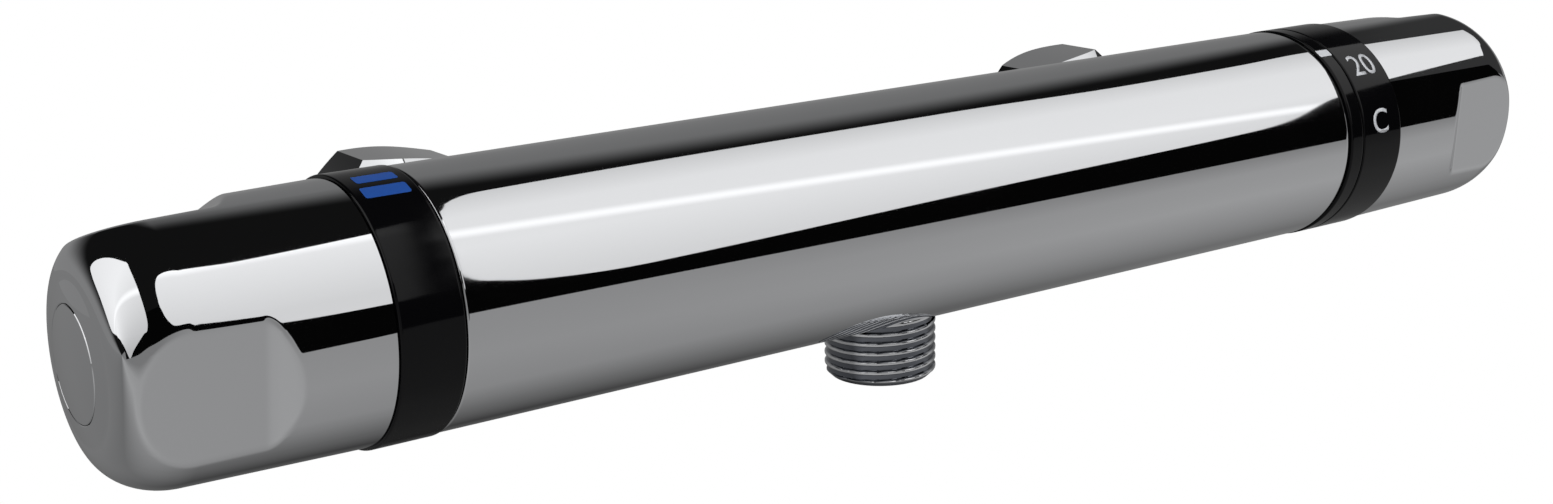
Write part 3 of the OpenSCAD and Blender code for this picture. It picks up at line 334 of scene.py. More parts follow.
# The thread repeats round the axis along a helix. Its profile is a cosine, squared up by a tanh so that
# crests and grooves are rounded, and the bias makes the grooves wider than the crests.
def pipe_thread():
    """Geometry nodes that cut a right-handed pipe thread into a plain turned surface. Cut Outward is 1
    for a bore and -1 for a rod. Points within Reach of the crests are cut, and over the lead the depth
    goes from Lead Depth, 0 or 1, to the thread's own."""
    tree, given = node_tree("pipe_thread", ("Axis Point", "Vector"), ("Axis", "Vector"),
                            ("Zero Angle", "Vector"), ("Crest Radius", "Float"), ("Cut Outward", "Float"),
                            ("Depth", "Float"), ("Reach", "Float"), ("Pitch", "Float"), ("Start", "Float"),
                            ("Length", "Float"), ("Lead", "Float"), ("Lead Depth", "Float"),
                            ("Material", "Material"))
    squareness, bias, end_slack = 3.2, 0.35, 0.05 * MM
    point = add(tree, "GeometryNodeInputPosition")
    off_point = add(tree, "ShaderNodeVectorMath", {"operation": "SUBTRACT"},
                    {0: point, 1: given["Axis Point"]})
    along = add(tree, "ShaderNodeVectorMath", {"operation": "DOT_PRODUCT"},
                {0: off_point, 1: given["Axis"]})
    foot = add(tree, "ShaderNodeVectorMath", {"operation": "SCALE"}, {0: given["Axis"], "Scale": along})
    off_axis = add(tree, "ShaderNodeVectorMath", {"operation": "SUBTRACT"}, {0: off_point, 1: foot})
    outward = add(tree, "ShaderNodeVectorMath", {"operation": "NORMALIZE"}, {0: off_axis})
    radius = add(tree, "ShaderNodeVectorMath", {"operation": "LENGTH"}, {0: off_axis})
    quarter = add(tree, "ShaderNodeVectorMath", {"operation": "CROSS_PRODUCT"},
                  {0: given["Axis"], 1: given["Zero Angle"]})
    forth = add(tree, "ShaderNodeVectorMath", {"operation": "DOT_PRODUCT"},
                {0: off_axis, 1: given["Zero Angle"]})
    aside = add(tree, "ShaderNodeVectorMath", {"operation": "DOT_PRODUCT"}, {0: off_axis, 1: quarter})
    angle = add(tree, "ShaderNodeMath", {"operation": "ARCTAN2"}, {0: aside, 1: forth})
    pitches = add(tree, "ShaderNodeMath", {"operation": "DIVIDE"}, {0: along, 1: given["Pitch"]})
    climb = add(tree, "ShaderNodeMath", {"operation": "MULTIPLY"}, {0: pitches, 1: math.tau})
    phase = add(tree, "ShaderNodeMath", {"operation": "SUBTRACT"}, {0: climb, 1: angle})
    wave = add(tree, "ShaderNodeMath", {"operation": "COSINE"}, {0: phase})
    steep = add(tree, "ShaderNodeMath", {"operation": "MULTIPLY_ADD"},
                {0: wave, 1: squareness, 2: squareness * bias})
    squared = add(tree, "ShaderNodeMath", {"operation": "TANH"}, {0: steep})
    profile = add(tree, "ShaderNodeMath", {"operation": "MULTIPLY_ADD"}, {0: squared, 1: 0.5, 2: 0.5})
    down = add(tree, "ShaderNodeMath", {"operation": "SUBTRACT"}, {0: given["Start"], 1: along})
    led_in = add(tree, "ShaderNodeMapRange", {"interpolation_type": "SMOOTHSTEP"},
                 {"Value": down, "From Min": 0.0, "From Max": given["Lead"]})
    share = add(tree, "ShaderNodeMix", None, {"Factor": led_in, "A": given["Lead Depth"], "B": profile})
    crest = add(tree, "ShaderNodeMath", {"operation": "MULTIPLY"},
                {0: given["Crest Radius"], 1: given["Cut Outward"]})
    groove = add(tree, "ShaderNodeMath", {"operation": "MULTIPLY_ADD"},
                 {0: share, 1: given["Depth"], 2: crest})
    plain = add(tree, "ShaderNodeMath", {"operation": "MULTIPLY"}, {0: radius, 1: given["Cut Outward"]})
    deeper = add(tree, "ShaderNodeMath", {"operation": "MAXIMUM"}, {0: plain, 1: groove})
    cut = add(tree, "ShaderNodeMath", {"operation": "SUBTRACT"}, {0: deeper, 1: plain})
    push = add(tree, "ShaderNodeMath", {"operation": "MULTIPLY"}, {0: cut, 1: given["Cut Outward"]})
    offset = add(tree, "ShaderNodeVectorMath", {"operation": "SCALE"}, {0: outward, "Scale": push})
    middle = add(tree, "ShaderNodeMath", {"operation": "MULTIPLY_ADD"},
                 {0: given["Length"], 1: -0.5, 2: given["Start"]})
    half = add(tree, "ShaderNodeMath", {"operation": "MULTIPLY_ADD"},
               {0: given["Length"], 1: 0.5, 2: end_slack})
    in_length = add(tree, "ShaderNodeMath", {"operation": "COMPARE"}, {0: along, 1: middle, 2: half})
    in_reach = add(tree, "ShaderNodeMath", {"operation": "COMPARE"},
                   {0: radius, 1: given["Crest Radius"], 2: given["Reach"]})
    chosen = add(tree, "ShaderNodeMath", {"operation": "MULTIPLY"}, {0: in_length, 1: in_reach})
    moved = add(tree, "GeometryNodeSetPosition", None,
                {"Geometry": given["Geometry"], "Selection": chosen, "Offset": offset})
    end_tree(tree, given, moved)
    return tree


thread_tree = pipe_thread()
thread_reach = 1.2 * MM
for side, x in inlet_x.items():
    turn = nut_turn[side]
    angles = [turn + angle for angle in evenly(nut_angles)]
    nut = turned("union_nut_" + side + "_plated", lambda angle: nut_path(angle, turn), angles, round_inlet(x))
    shape_by(nut, thread_tree, {
        "Axis Point": (x, 0.0, 0.0), "Axis": (0.0, 1.0, 0.0), "Zero Angle": (1.0, 0.0, 0.0),
        "Crest Radius": union_crest_r, "Cut Outward": 1.0, "Depth": thread_depth, "Reach": thread_reach,
        "Pitch": pitch, "Start": nut_back, "Length": union_len, "Lead": pitch, "Lead Depth": 1.0,
        "Material": chrome})
    smooth_over(nut.data)
    dress(nut, chrome, "nut_" + side, "chrome", "union_nut_" + side)


def finish_nodes(material, *names):
    """Gives CAD nodes a finish in place of their plain one."""
    for name in names:
        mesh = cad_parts[name].data
        mesh.materials.clear()
        mesh.materials.append(material)


# Moulded nitrile rubber: dull black, with the grain of its mould, drawn coarser than it is so that it shows.
def nitrile_rubber():
    material, tree, place = new_material("nitrile_rubber")
    grain_width = 0.25 * MM
    grain = add(tree, "ShaderNodeTexNoise", None, {"Vector": place, "Scale": 1 / grain_width, "Detail": 3.0})
    bump = add(tree, "ShaderNodeBump", None,
               {"Height": grain.outputs["Fac"], "Strength": 0.3, "Distance": 0.05 * MM})
    shader = add(tree, "ShaderNodeBsdfPrincipled", None,
                 {"Base Color": hex_colour("#1B1B1C"), "Roughness": 0.62, "Normal": bump})
    add(tree, "ShaderNodeOutputMaterial", None, {"Surface": shader})
    return material


# Etched stainless sheet and drawn spring wire: bright grey with draw marks, drawn coarser than they are.
def stainless_steel():
    material, tree, place = new_material("stainless_steel")
    mark_width = 0.4 * MM
    lines = add(tree, "ShaderNodeTexNoise", None, {"Vector": place, "Scale": 1 / mark_width, "Detail": 2.0})
    gloss = add(tree, "ShaderNodeMapRange", None,
                {"Value": lines.outputs["Fac"], "To Min": 0.18, "To Max": 0.36})
    shader = add(tree, "ShaderNodeBsdfPrincipled", None,
                 {"Base Color": hex_colour("#C9CACC"), "Metallic": 1.0, "Roughness": gloss})
    add(tree, "ShaderNodeOutputMaterial", None, {"Surface": shader})
    return material


def mottled(name, patch, detail, dark, light, roughness):
    """A material whose tone wanders between two near colours, in patches of a given size."""
    material, tree, place = new_material(name)
    mottle = add(tree, "ShaderNodeTexNoise", None, {"Vector": place, "Scale": 1 / patch, "Detail": detail})
    tone = add(tree, "ShaderNodeMix", {"data_type": "RGBA"},
               {"Factor": mottle.outputs["Fac"], "A": hex_colour(dark), "B": hex_colour(light)})
    shader = add(tree, "ShaderNodeBsdfPrincipled", None, {"Base Color": tone, "Roughness": roughness})
    add(tree, "ShaderNodeOutputMaterial", None, {"Surface": shader})
    return material


rubber = nitrile_rubber()
steel = stainless_steel()
# Moulded acetal: milky white with a soft sheen and a faint flow mottle.
acetal = mottled("moulded_acetal", 3.3 * MM, 3.0, "#E4E2DC", "#F0EFEA", 0.38)
finish_nodes(chrome, "inlet_tail_hot", "inlet_tail_cold")
finish_nodes(rubber, "inlet_tail_seals", "filter_washers")
finish_nodes(steel, "filter_gauzes")
finish_nodes(acetal, "check_housing_hot", "check_housing_cold")

# The outlet: a turned and plated nipple for a shower hose, with a rolled half inch pipe thread.
# Its plain spigot and sealing ring sit in the recess under the bar.
crest_r = 10.4775 * MM
thread_end = outlet_low.z
end_chamfer = 1.1 * MM
spigot_r = 8.9 * MM
shoulder_gap = 0.05 * MM
shoulder_z = -bar_r + outlet_recess - shoulder_gap
neck_len = 0.5 * MM
neck_depth = 0.3 * MM
thread_top = shoulder_z - neck_len
water_r = 6.6 * MM
mouth_ease = 0.5 * MM
rolled_depth = 0.6 * MM
seal_z = shoulder_z + 0.6 * MM
seal_depth = 1.0 * MM
outlet_angles = 160
outlet_rows = 132


def nipple_outline():
    """The nipple's outline, from its top down over the thread's place and up its bore."""
    seal_r, seal_top, seal_end = spigot_r - seal_depth, seal_z + seal_depth / 2, seal_z - seal_depth / 2
    path = [(outlet_high.z, water_r), (outlet_high.z, spigot_r), (seal_top, spigot_r), (seal_top, seal_r),
            (seal_end, seal_r), (seal_end, spigot_r), (shoulder_z, spigot_r),
            (shoulder_z, crest_r - neck_depth), (thread_top + neck_depth, crest_r - neck_depth)]
    for k in range(outlet_rows + 1):
        along = thread_top - (thread_top - thread_end) * k / outlet_rows
        cone_r = crest_r - thread_depth + (along - thread_end) * thread_depth / end_chamfer
        path.append((along, min(crest_r, cone_r)))
    return path + [(thread_end, water_r + mouth_ease), (thread_end + mouth_ease, water_r)]


# Plate on a rolled thread: bright on the crests, with painted shade that darkens it down in the grooves.
def plated_thread_groove_shade():
    material, tree, place = new_material("plated_thread_groove_shade")
    off_axis = add(tree, "ShaderNodeVectorMath", {"operation": "SUBTRACT"},
                   {0: place, 1: (outlet_x, axis_y, 0)})
    level = add(tree, "ShaderNodeVectorMath", {"operation": "MULTIPLY"}, {0: off_axis, 1: (1, 1, 0)})
    radius = add(tree, "ShaderNodeVectorMath", {"operation": "LENGTH"}, {0: level})
    # Painted shade: the base colour goes from dark grey deep in the grooves to bright on the crests, by
    # distance from the axis.
    height = add(tree, "ShaderNodeMapRange", None,
                 {"Value": radius, "From Min": crest_r - 0.8 * rolled_depth,
                  "From Max": crest_r - 0.05 * rolled_depth})
    tone = add(tree, "ShaderNodeMix", {"data_type": "RGBA"},
               {"Factor": height, "A": hex_colour("#7C7F86"), "B": hex_colour("#F4F5F7")})
    shader = add(tree, "ShaderNodeBsdfPrincipled", None,
                 {"Base Color": tone, "Metallic": 1.0, "Roughness": 0.06})
    add(tree, "ShaderNodeOutputMaterial", None, {"Surface": shader})
    return material


thread_plate = plated_thread_groove_shade()
nipple_path = nipple_outline()
nipple = turned("outlet_nipple_plated", lambda angle: nipple_path, evenly(outlet_angles), round_outlet)
shape_by(nipple, thread_tree, {
    "Axis Point": (outlet_x, axis_y, 0.0), "Axis": (0.0, 0.0, 1.0), "Zero Angle": (1.0, 0.0, 0.0),
    "Crest Radius": crest_r, "Cut Outward": -1.0, "Depth": rolled_depth, "Reach": thread_reach,
    "Pitch": pitch, "Start": thread_top, "Length": thread_top - thread_end, "Lead": pitch / 2,
    "Lead Depth": 0.0, "Material": thread_plate})
smooth_over(nipple.data)
dress(nipple, thread_plate, "fixed", "chrome", "outlet_nipple")
finish_nodes(rubber, "outlet_seal")

# The rings: glossy black moulded plastic. The left one turns with the flow knob and has two blue bars,
# the thin right one is fixed and has the index mark, and the wide right one turns with its numbers.
ring_ease = 0.35 * MM
ring_bore_r = 18.5 * MM
ring_bodies = {"flow_ring": "flow_control", "index_ring": "fixed", "dial_ring": "temp_control"}
film_t = 0.03 * MM
strip_width = 0.3 * MM


# Glossy black moulded plastic: near black, with a clean moulded gloss.
def black_moulding():
    material, tree, place = new_material("black_moulding")
    patch = 4.5 * MM
    flow = add(tree, "ShaderNodeTexNoise", None, {"Vector": place, "Scale": 1 / patch, "Detail": 3.0})
    gloss = add(tree, "ShaderNodeMapRange", None,
                {"Value": flow.outputs["Fac"], "To Min": 0.03, "To Max": 0.09})
    shader = add(tree, "ShaderNodeBsdfPrincipled", None,
                 {"Base Color": hex_colour("#050506"), "Roughness": gloss, "IOR": 1.5,
                  "Specular IOR Level": 0.22})
    add(tree, "ShaderNodeOutputMaterial", None, {"Surface": shader})
    return material


black = black_moulding()
# Pad printed ink: a thin matt film with a slightly uneven tone.
light_ink = mottled("light_grey_ink", 1.1 * MM, 2.0, "#A9ABAE", "#B6B8BB", 0.42)
blue_ink = mottled("blue_ink", 1.1 * MM, 2.0, "#063A80", "#08408A", 0.42)
for name, body in ring_bodies.items():
    low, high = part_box(name)
    corners = [(low.x, ring_bore_r), (low.x, high.z), (high.x, high.z), (high.x, ring_bore_r)]
    profile = eased(corners, ring_ease)
    ring = turned(name + "_moulding", lambda angle: profile, evenly(bar_facets), round_bar)
    dress(ring, black, body, "black_plastic", name)


def print_on_ring():
    """Geometry nodes that bend a flat print, drawn with x along the bar and y round it, onto a ring."""
    tree, given = node_tree("print_on_ring", ("Ring Radius", "Float"), ("Film", "Float"),
                            ("Place Along", "Float"), ("Middle Angle", "Float"), ("Material", "Material"))
    point = add(tree, "GeometryNodeInputPosition")
    flat = add(tree, "ShaderNodeSeparateXYZ", None, {"Vector": point})
    x = add(tree, "ShaderNodeMath", {"operation": "ADD"}, {0: flat.outputs["X"], 1: given["Place Along"]})
    arc = add(tree, "ShaderNodeMath", {"operation": "DIVIDE"},
              {0: flat.outputs["Y"], 1: given["Ring Radius"]})
    angle = add(tree, "ShaderNodeMath", {"operation": "ADD"}, {0: arc, 1: given["Middle Angle"]})
    base = add(tree, "ShaderNodeMath", {"operation": "MULTIPLY_ADD"},
               {0: given["Film"], 1: 0.5, 2: given["Ring Radius"]})
    radius = add(tree, "ShaderNodeMath", {"operation": "ADD"}, {0: base, 1: flat.outputs["Z"]})
    cosine = add(tree, "ShaderNodeMath", {"operation": "COSINE"}, {0: angle})
    sine = add(tree, "ShaderNodeMath", {"operation": "SINE"}, {0: angle})
    front = add(tree, "ShaderNodeMath", {"operation": "MULTIPLY"}, {0: radius, 1: cosine})
    y = add(tree, "ShaderNodeMath", {"operation": "SUBTRACT"}, {0: axis_y, 1: front})
    z = add(tree, "ShaderNodeMath", {"operation": "MULTIPLY"}, {0: radius, 1: sine})
    place = add(tree, "ShaderNodeCombineXYZ", None, {"X": x, "Y": y, "Z": z})
    moved = add(tree, "GeometryNodeSetPosition", None, {"Geometry": given["Geometry"], "Position": place})
    end_tree(tree, given, moved)
    return tree


ring_print = print_on_ring()


def printed(name, made, ink, radius, x, middle):
    """Cuts a flat print into strips, gives it the film's thickness and bends it onto a ring."""
    low = min(v.co.y for v in made.verts)
    high = max(v.co.y for v in made.verts)
    strips = max(2, round((high - low) / strip_width))
    for k in range(1, strips):
        everything = made.verts[:] + made.edges[:] + made.faces[:]
        bmesh.ops.bisect_plane(made, geom=everything, plane_co=(0, low + (high - low) * k / strips, 0),
                               plane_no=(0, 1, 0), dist=weld_gap)
    bmesh.ops.solidify(made, geom=made.faces[:], thickness=-film_t)
    bmesh.ops.recalc_face_normals(made, faces=made.faces)
    mesh = bpy.data.meshes.new(name)
    made.to_mesh(mesh)
    made.free()
    piece = bpy.data.objects.new(name, mesh)
    bpy.context.scene.collection.objects.link(piece)
    shape_by(piece, ring_print, {"Ring Radius": radius, "Film": film_t, "Place Along": x,
                                 "Middle Angle": middle, "Material": ink})
    return piece


def bar_mark(name, ink, radius, x0, x1, low_deg, high_deg, ease):
    """A printed bar on a ring, between two places along the bar and two angles."""
    middle = math.radians((low_deg + high_deg) / 2)
    half = math.radians(high_deg - low_deg) / 2 * radius
    length = x1 - x0
    corners = [(-length / 2, -half), (length / 2, -half), (length / 2, half), (-length / 2, half)]
    made = bmesh.new()
    made.faces.new([made.verts.new((x, y, 0)) for x, y in eased(corners, ease)])
    return printed(name, made, ink, radius, (x0 + x1) / 2, middle)


stroke_growth = 0.004


def lettering(name, words, height, ink, radius, x, middle_deg):
    """Printed digits on a ring, read along the bar with their tops towards the back."""
    font = bpy.data.curves.new(name, "FONT")
    font.body = words
    font.align_x, font.align_y = "CENTER", "CENTER"
    font.size = height
    font.offset = stroke_growth * height
    text = bpy.data.objects.new(name + "_text", font)
    bpy.context.scene.collection.objects.link(text)
    bpy.context.view_layer.update()
    flat = bpy.data.meshes.new_from_object(text.evaluated_get(bpy.context.evaluated_depsgraph_get()))
    made = bmesh.new()
    made.from_mesh(flat)
    bmesh.ops.remove_doubles(made, verts=made.verts, dist=weld_gap)
    bpy.data.objects.remove(text)
    return printed(name, made, ink, radius, x, math.radians(middle_deg))


# Each blue bar: its two ends in millimetres from the bar's left face, and its two angles in degrees.
blue_bars = {"flow_mark_lower": (-9.5, -1.8, 64.5, 72), "flow_mark_upper": (-9.0, -2.0, 76, 83)}
blue_ease = 0.5 * MM
index_degrees = (55, 60)
index_ease = 0.2 * MM
# Each word on the dial: its angle in degrees, and how far it stands off the dial's middle in millimetres.
dial_words = {"C": (11.5, -0.5), "20": (45, 0), "30": (120, 0), "40": (195, 0), "50": (270, 0)}
word_height = 7.3 * MM
flow_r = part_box("flow_ring")[1].z
for name, (left, right, low_deg, high_deg) in blue_bars.items():
    x0, x1 = bar_low.x + left * MM, bar_low.x + right * MM
    mark = bar_mark(name, blue_ink, flow_r, x0, x1, low_deg, high_deg, blue_ease)
    dress(mark, blue_ink, "flow_control", "black_plastic")
index_low, index_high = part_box("index_ring")
index = bar_mark("index_mark", light_ink, index_high.z, index_low.x, index_high.x, *index_degrees, index_ease)
dress(index, light_ink, "fixed", "black_plastic")
dial_low, dial_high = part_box("dial_ring")
for words, (angle, aside) in dial_words.items():
    x = (dial_low.x + dial_high.x) / 2 + aside * MM
    digits = lettering("dial_" + words, words, word_height, light_ink, dial_high.z, x, angle)
    dress(digits, light_ink, "temp_control", "black_plastic")

# The knobs: chrome plated mouldings that taper slightly, with three flat scoops for the fingers,
# an elliptical corner and a domed end. Each is a hollow shell with a hub that the spindle drives.
knob_root_r = 21.5 * MM
knob_end_r = 21.0 * MM
corner_len = 11.0 * MM
corner_depth = 8.2 * MM
corner_rows = 56
dome = 1.5 * MM
scoop_count = 3
scoop_flat = 18.5 * MM
scoop_len = 27.5 * MM
scoop_ramp = 4.0 * MM
scoop_tilt = 0.03
scoop_turn = {"flow": -9.5, "temp": -4.0}
edge_blend = 0.5 * MM
crease_blend = 0.8 * MM
root_ease = 0.3 * MM
root_rows = (1, 3, 6, 9)
crease_step = 0.25 * MM
crease_rows = range(-8, 33)
crease_end = 8.25 * MM
straight_rows = 10
widest_cosine = 0.2
face_r = knob_end_r - corner_depth
face_rows = 6
spigot_len = 8.0 * MM
knob_spigot_r = 18.45 * MM
cavity_r = 16.2 * MM
cavity_ease = 3 * MM
hub_r = 6.8 * MM
hub_len = 14 * MM
hub_roof = 8.35 * MM
drive_r = 4.5 * MM
screw_r = 2.0 * MM
screw_seat = 6.05 * MM
screw_head_r = 3.55 * MM
cap_r = 9.0 * MM
cap_gap = 0.1 * MM
cap_rim = 0.15 * MM
cap_rim_depth = 0.1 * MM
cap_ease = 0.12 * MM
cap_depth = 3.0 * MM
cap_rows = 8
cap_angles = 128


def soft_min(a, b, blend):
    """The smaller of two radii, blended where they meet."""
    mix = max(blend - abs(a - b), 0.0) / blend
    return min(a, b) - mix * mix * blend / 4


def soft_max(a, b, blend):
    """The larger of two radii, blended where they meet."""
    return -soft_min(-a, -b, blend)


def knob_path(angle, length, scoops):
    """A knob's outline at one angle, from its root over the corner to the cap's seat and back inside."""
    straight = length - dome - corner_len
    start = length - scoop_len
    rows = [root_ease] + [k * MM for k in root_rows]
    rows += [start + k * crease_step for k in crease_rows]
    rest = straight - start - crease_end
    rows += [start + crease_end + rest * k / straight_rows for k in range(1, straight_rows + 1)]
    rows = sorted(z for z in set(rows) if root_ease <= z <= straight)
    outline = [(z, knob_root_r + (knob_end_r - knob_root_r) * z / straight) for z in rows]
    for k in range(1, corner_rows + 1):
        t = math.pi / 2 * k / corner_rows
        outline.append((straight + corner_len * math.sin(t), face_r + corner_depth * math.cos(t)))
    off = min(abs((angle - s + math.pi) % (2 * math.pi) - math.pi) for s in scoops)
    slope = (knob_root_r - scoop_flat) / scoop_ramp
    cut = []
    for z, r in outline:
        flat = scoop_flat - scoop_tilt * max(0.0, z - start - scoop_ramp)
        depth = soft_max(flat, knob_root_r - (z - start) * slope, crease_blend)
        cut.append((z, soft_min(r, depth / max(math.cos(off), widest_cosine), edge_blend)))
    root = [(0.0, knob_spigot_r), (0.0, cut[0][1] - root_ease)]
    face = []
    for k in range(1, face_rows + 1):
        r = face_r + (cap_r + cap_gap + cap_rim - face_r) * k / face_rows
        face.append((length - dome * (r / face_r) ** 2, r))
    face.append((face[-1][0] - cap_rim_depth, cap_r + cap_gap))
    hub_top = length - hub_roof
    inside = [(length - cap_depth, cap_r + cap_gap), (length - cap_depth, screw_head_r),
              (length - screw_seat, screw_head_r), (length - screw_seat, screw_r), (hub_top, screw_r),
              (hub_top, drive_r), (hub_top - hub_len, drive_r), (hub_top - hub_len, hub_r), (hub_top, hub_r),
              (hub_top, cavity_r - cavity_ease), (hub_top - cavity_ease, cavity_r), (-spigot_len, cavity_r),
              (-spigot_len, knob_spigot_r)]
    return root + cut + face + inside


def knob_angles(scoops):
    """A knob's angles: every 2 degrees, and every 0.4 where a scoop's edges run. Each run about a scoop's
    middle is given by its start, its step, and its first and last count."""
    runs = ((-60, 2, 0, 13), (-34, 0.4, 1, 25), (-24, 2, 0, 25), (24, 0.4, 1, 25), (34, 2, 0, 13))
    out = []
    for s in scoops:
        for start, step, first, last in runs:
            out += [s + math.radians(start + step * k) for k in range(first, last)]
    return sorted(a % (2 * math.pi) for a in out)


for side, ring_name in (("flow", "flow_ring"), ("temp", "dial_ring")):
    ring_low, ring_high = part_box(ring_name)
    cap_low, cap_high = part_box(side + "_knob_cap")
    sign, root_x, end_x = (-1, ring_low.x, cap_low.x) if side == "flow" else (1, ring_high.x, cap_high.x)
    knob_len = abs(end_x - root_x)
    scoops = [math.radians(scoop_turn[side] + 360 / scoop_count * k) for k in range(scoop_count)]

    def place(along, radius, angle):
        return round_bar(root_x + sign * along, radius, angle)

    knob = turned(side + "_knob_plated", lambda angle: knob_path(angle, knob_len, scoops),
                  knob_angles(scoops), place)
    dress(knob, chrome, side + "_control", "chrome", side + "_knob")
    top = []
    for k in range(cap_rows + 1):
        r = cap_r * (1 - k / cap_rows)
        top.append((knob_len - dome * (r / face_r) ** 2, r))
    cap_path = [(knob_len - cap_depth, 0.0), (knob_len - cap_depth, cap_r),
                (top[0][0] - cap_ease, cap_r), (top[0][0], cap_r - cap_ease)] + top[1:]
    cap = turned(side + "_cap_plated", lambda angle: cap_path, evenly(cap_angles), place, ring=False)
    dress(cap, chrome, side + "_control", "chrome", side + "_knob_cap")

# The works: turned brass spindles and cartridge, lapped ceramic discs, acetal, rubber rings and springs.
# They keep their CAD solids, but the three springs that a moving piece presses are copies.


# Turned brass: warm metal with tool rings, one at each step of the cutter along the bar. The wave texture
# has 20 / tau bands to a unit of its scale.
def turned_brass():
    material, tree, place = new_material("turned_brass")
    feed, bands = 0.35 * MM, 20 / math.tau
    rings = add(tree, "ShaderNodeTexWave", {"bands_direction": "X"},
                {"Vector": place, "Scale": 1 / (bands * feed), "Distortion": 0.6})
    bump = add(tree, "ShaderNodeBump", None,
               {"Height": rings.outputs["Fac"], "Strength": 0.15, "Distance": 0.02 * MM})
    shader = add(tree, "ShaderNodeBsdfPrincipled", None,
                 {"Base Color": hex_colour("#C9A45A"), "Metallic": 1.0, "Roughness": 0.26,
                  "Normal": bump})
    add(tree, "ShaderNodeOutputMaterial", None, {"Surface": shader})
    return material


# Lapped alumina: ivory white and very smooth.
alumina = mottled("lapped_alumina", 0.67 * MM, 2.0, "#EAE4D6", "#F4EFE4", 0.12)
finish_nodes(turned_brass(), "headwork_body", "flow_spindle", "temp_spindle", "cartridge_housing",
             "cartridge_bonnet", "cartridge_nut", "wax_element", "overload_cup", "drive_nut")
finish_nodes(alumina, "fixed_disc", "moving_disc")
finish_nodes(acetal, "flow_stop_ring", "temp_stop_ring", "cartridge_base", "mixing_spool")
finish_nodes(rubber, "headwork_seal", "disc_seat", "flow_spindle_seals", "cartridge_seals",
             "temp_spindle_seals")
finish_nodes(steel, "flow_spindle_clip", "temp_spindle_clip", "flow_knob_screw", "temp_knob_screw",
             "overload_spring")
finish_nodes(black, "check_poppet_hot", "check_poppet_cold")


def springing(node):
    """A copy of a CAD spring in its place, with a steel finish. The spring is pressed between a still seat
    and one that moves with a body.
    """
    spring = bpy.data.objects.new(node + "_wire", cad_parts[node].data.copy())
    bpy.context.scene.collection.objects.link(spring)
    spring.data.materials.clear()
    spring.data.materials.append(steel)
    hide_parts(node)
    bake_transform(spring)


for side, x in inlet_x.items():
    low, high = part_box("check_spring_" + side)
    springing("check_spring_" + side)
low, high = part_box("return_spring")
springing("return_spring")

# The camera stands to the left of the bar, above it, and looks down at it.
# Its place is given from the point where the outlet's axis meets the bar's.
eye = Vector((outlet_x - 238.0 * MM, axis_y - 297.9 * MM, 91.3 * MM))
yaw, pitch_down, roll = (math.radians(a) for a in (35.74, 14.6, 1.1))
sensor_mm = 36.0
focal_mm = 48.9
forward = Vector((math.sin(yaw) * math.cos(pitch_down), math.cos(yaw) * math.cos(pitch_down),
                  -math.sin(pitch_down)))
level = Vector((math.cos(yaw), -math.sin(yaw), 0))
sunk = forward.cross(level)
across = math.cos(roll) * level + math.sin(roll) * sunk
below = math.cos(roll) * sunk - math.sin(roll) * level
turn_to = Matrix((across, -below, -forward)).transposed()
camera_data = bpy.data.cameras.new("camera")
camera_data.sensor_fit = "HORIZONTAL"
camera_data.sensor_width = sensor_mm
camera_data.lens = focal_mm
camera = bpy.data.objects.new("camera", camera_data)
bpy.context.scene.collection.objects.link(camera)
camera.matrix_world = Matrix.Translation(eye) @ turn_to.to_4x4()
bpy.context.scene.camera = camera

# The studio: a pale floor, a white surround, and a tent of grey cloth and soft boxes round the bar.
# The tent is what the chrome mirrors. The camera doesn't see it, and it neither lights nor shades.
# The studio's sizes are in metres.


def plainly_seen(tree):
    """1 for what the camera sees, also in metal and glass, and 0 for what lights the object."""
    rays = add(tree, "ShaderNodeLightPath")
    direct = add(tree, "ShaderNodeMath", {"operation": "MAXIMUM"},
                 {0: rays.outputs["Is Camera Ray"], 1: rays.outputs["Is Glossy Ray"]})
    seen = add(tree, "ShaderNodeMath", {"operation": "MAXIMUM"},
               {0: direct, 1: rays.outputs["Is Transmission Ray"]})
    return seen.outputs["Value"]


bpy.context.scene.view_settings.view_transform = "Standard"
world = bpy.data.worlds.new("surround")
bpy.context.scene.world = world
world.use_nodes = True
tree = world.node_tree
tree.nodes.clear()
air = add(tree, "ShaderNodeBackground", None, {"Color": hex_colour("#C4C4C6")})
white = add(tree, "ShaderNodeBackground", None, {"Color": hex_colour("#FFFFFF")})
both = add(tree, "ShaderNodeMixShader", None, {0: plainly_seen(tree), 1: air, 2: white})
add(tree, "ShaderNodeOutputWorld", None, {"Surface": both})


def sheet_of(name, rows, material):
    """A studio card from rows of points."""
    made = bmesh.new()
    points = [[made.verts.new(p) for p in row] for row in rows]
    for row, following in zip(points, points[1:]):
        for k in range(len(row) - 1):
            made.faces.new((row[k], row[k + 1], following[k + 1], following[k]))
    mesh = bpy.data.meshes.new(name)
    made.to_mesh(mesh)
    made.free()
    card = bpy.data.objects.new(name, mesh)
    bpy.context.scene.collection.objects.link(card)
    card.data.materials.append(material)
    card.visible_camera = False
    card.visible_diffuse = False
    card.visible_shadow = False


card_columns = 30


def through(line, x):
    """A smooth curve through points (x, degrees), read at x."""
    if x <= line[0][0]:
        return line[0][1]
    for i, ((x0, y0), (x1, y1)) in enumerate(zip(line, line[1:])):
        if x > x1:
            continue
        before = line[i - 1] if i else (2 * x0 - x1, y0)
        after = line[i + 2] if i + 2 < len(line) else (2 * x1 - x0, y1)
        t, wide = (x - x0) / (x1 - x0), x1 - x0
        m0 = wide * (y1 - before[1]) / (x1 - before[0])
        m1 = wide * (after[1] - y0) / (after[0] - x0)
        return ((2 * t ** 3 - 3 * t ** 2 + 1) * y0 + (t ** 3 - 2 * t ** 2 + t) * m0
                + (3 * t ** 2 - 2 * t ** 3) * y1 + (t ** 3 - t ** 2) * m1)
    return line[-1][1]


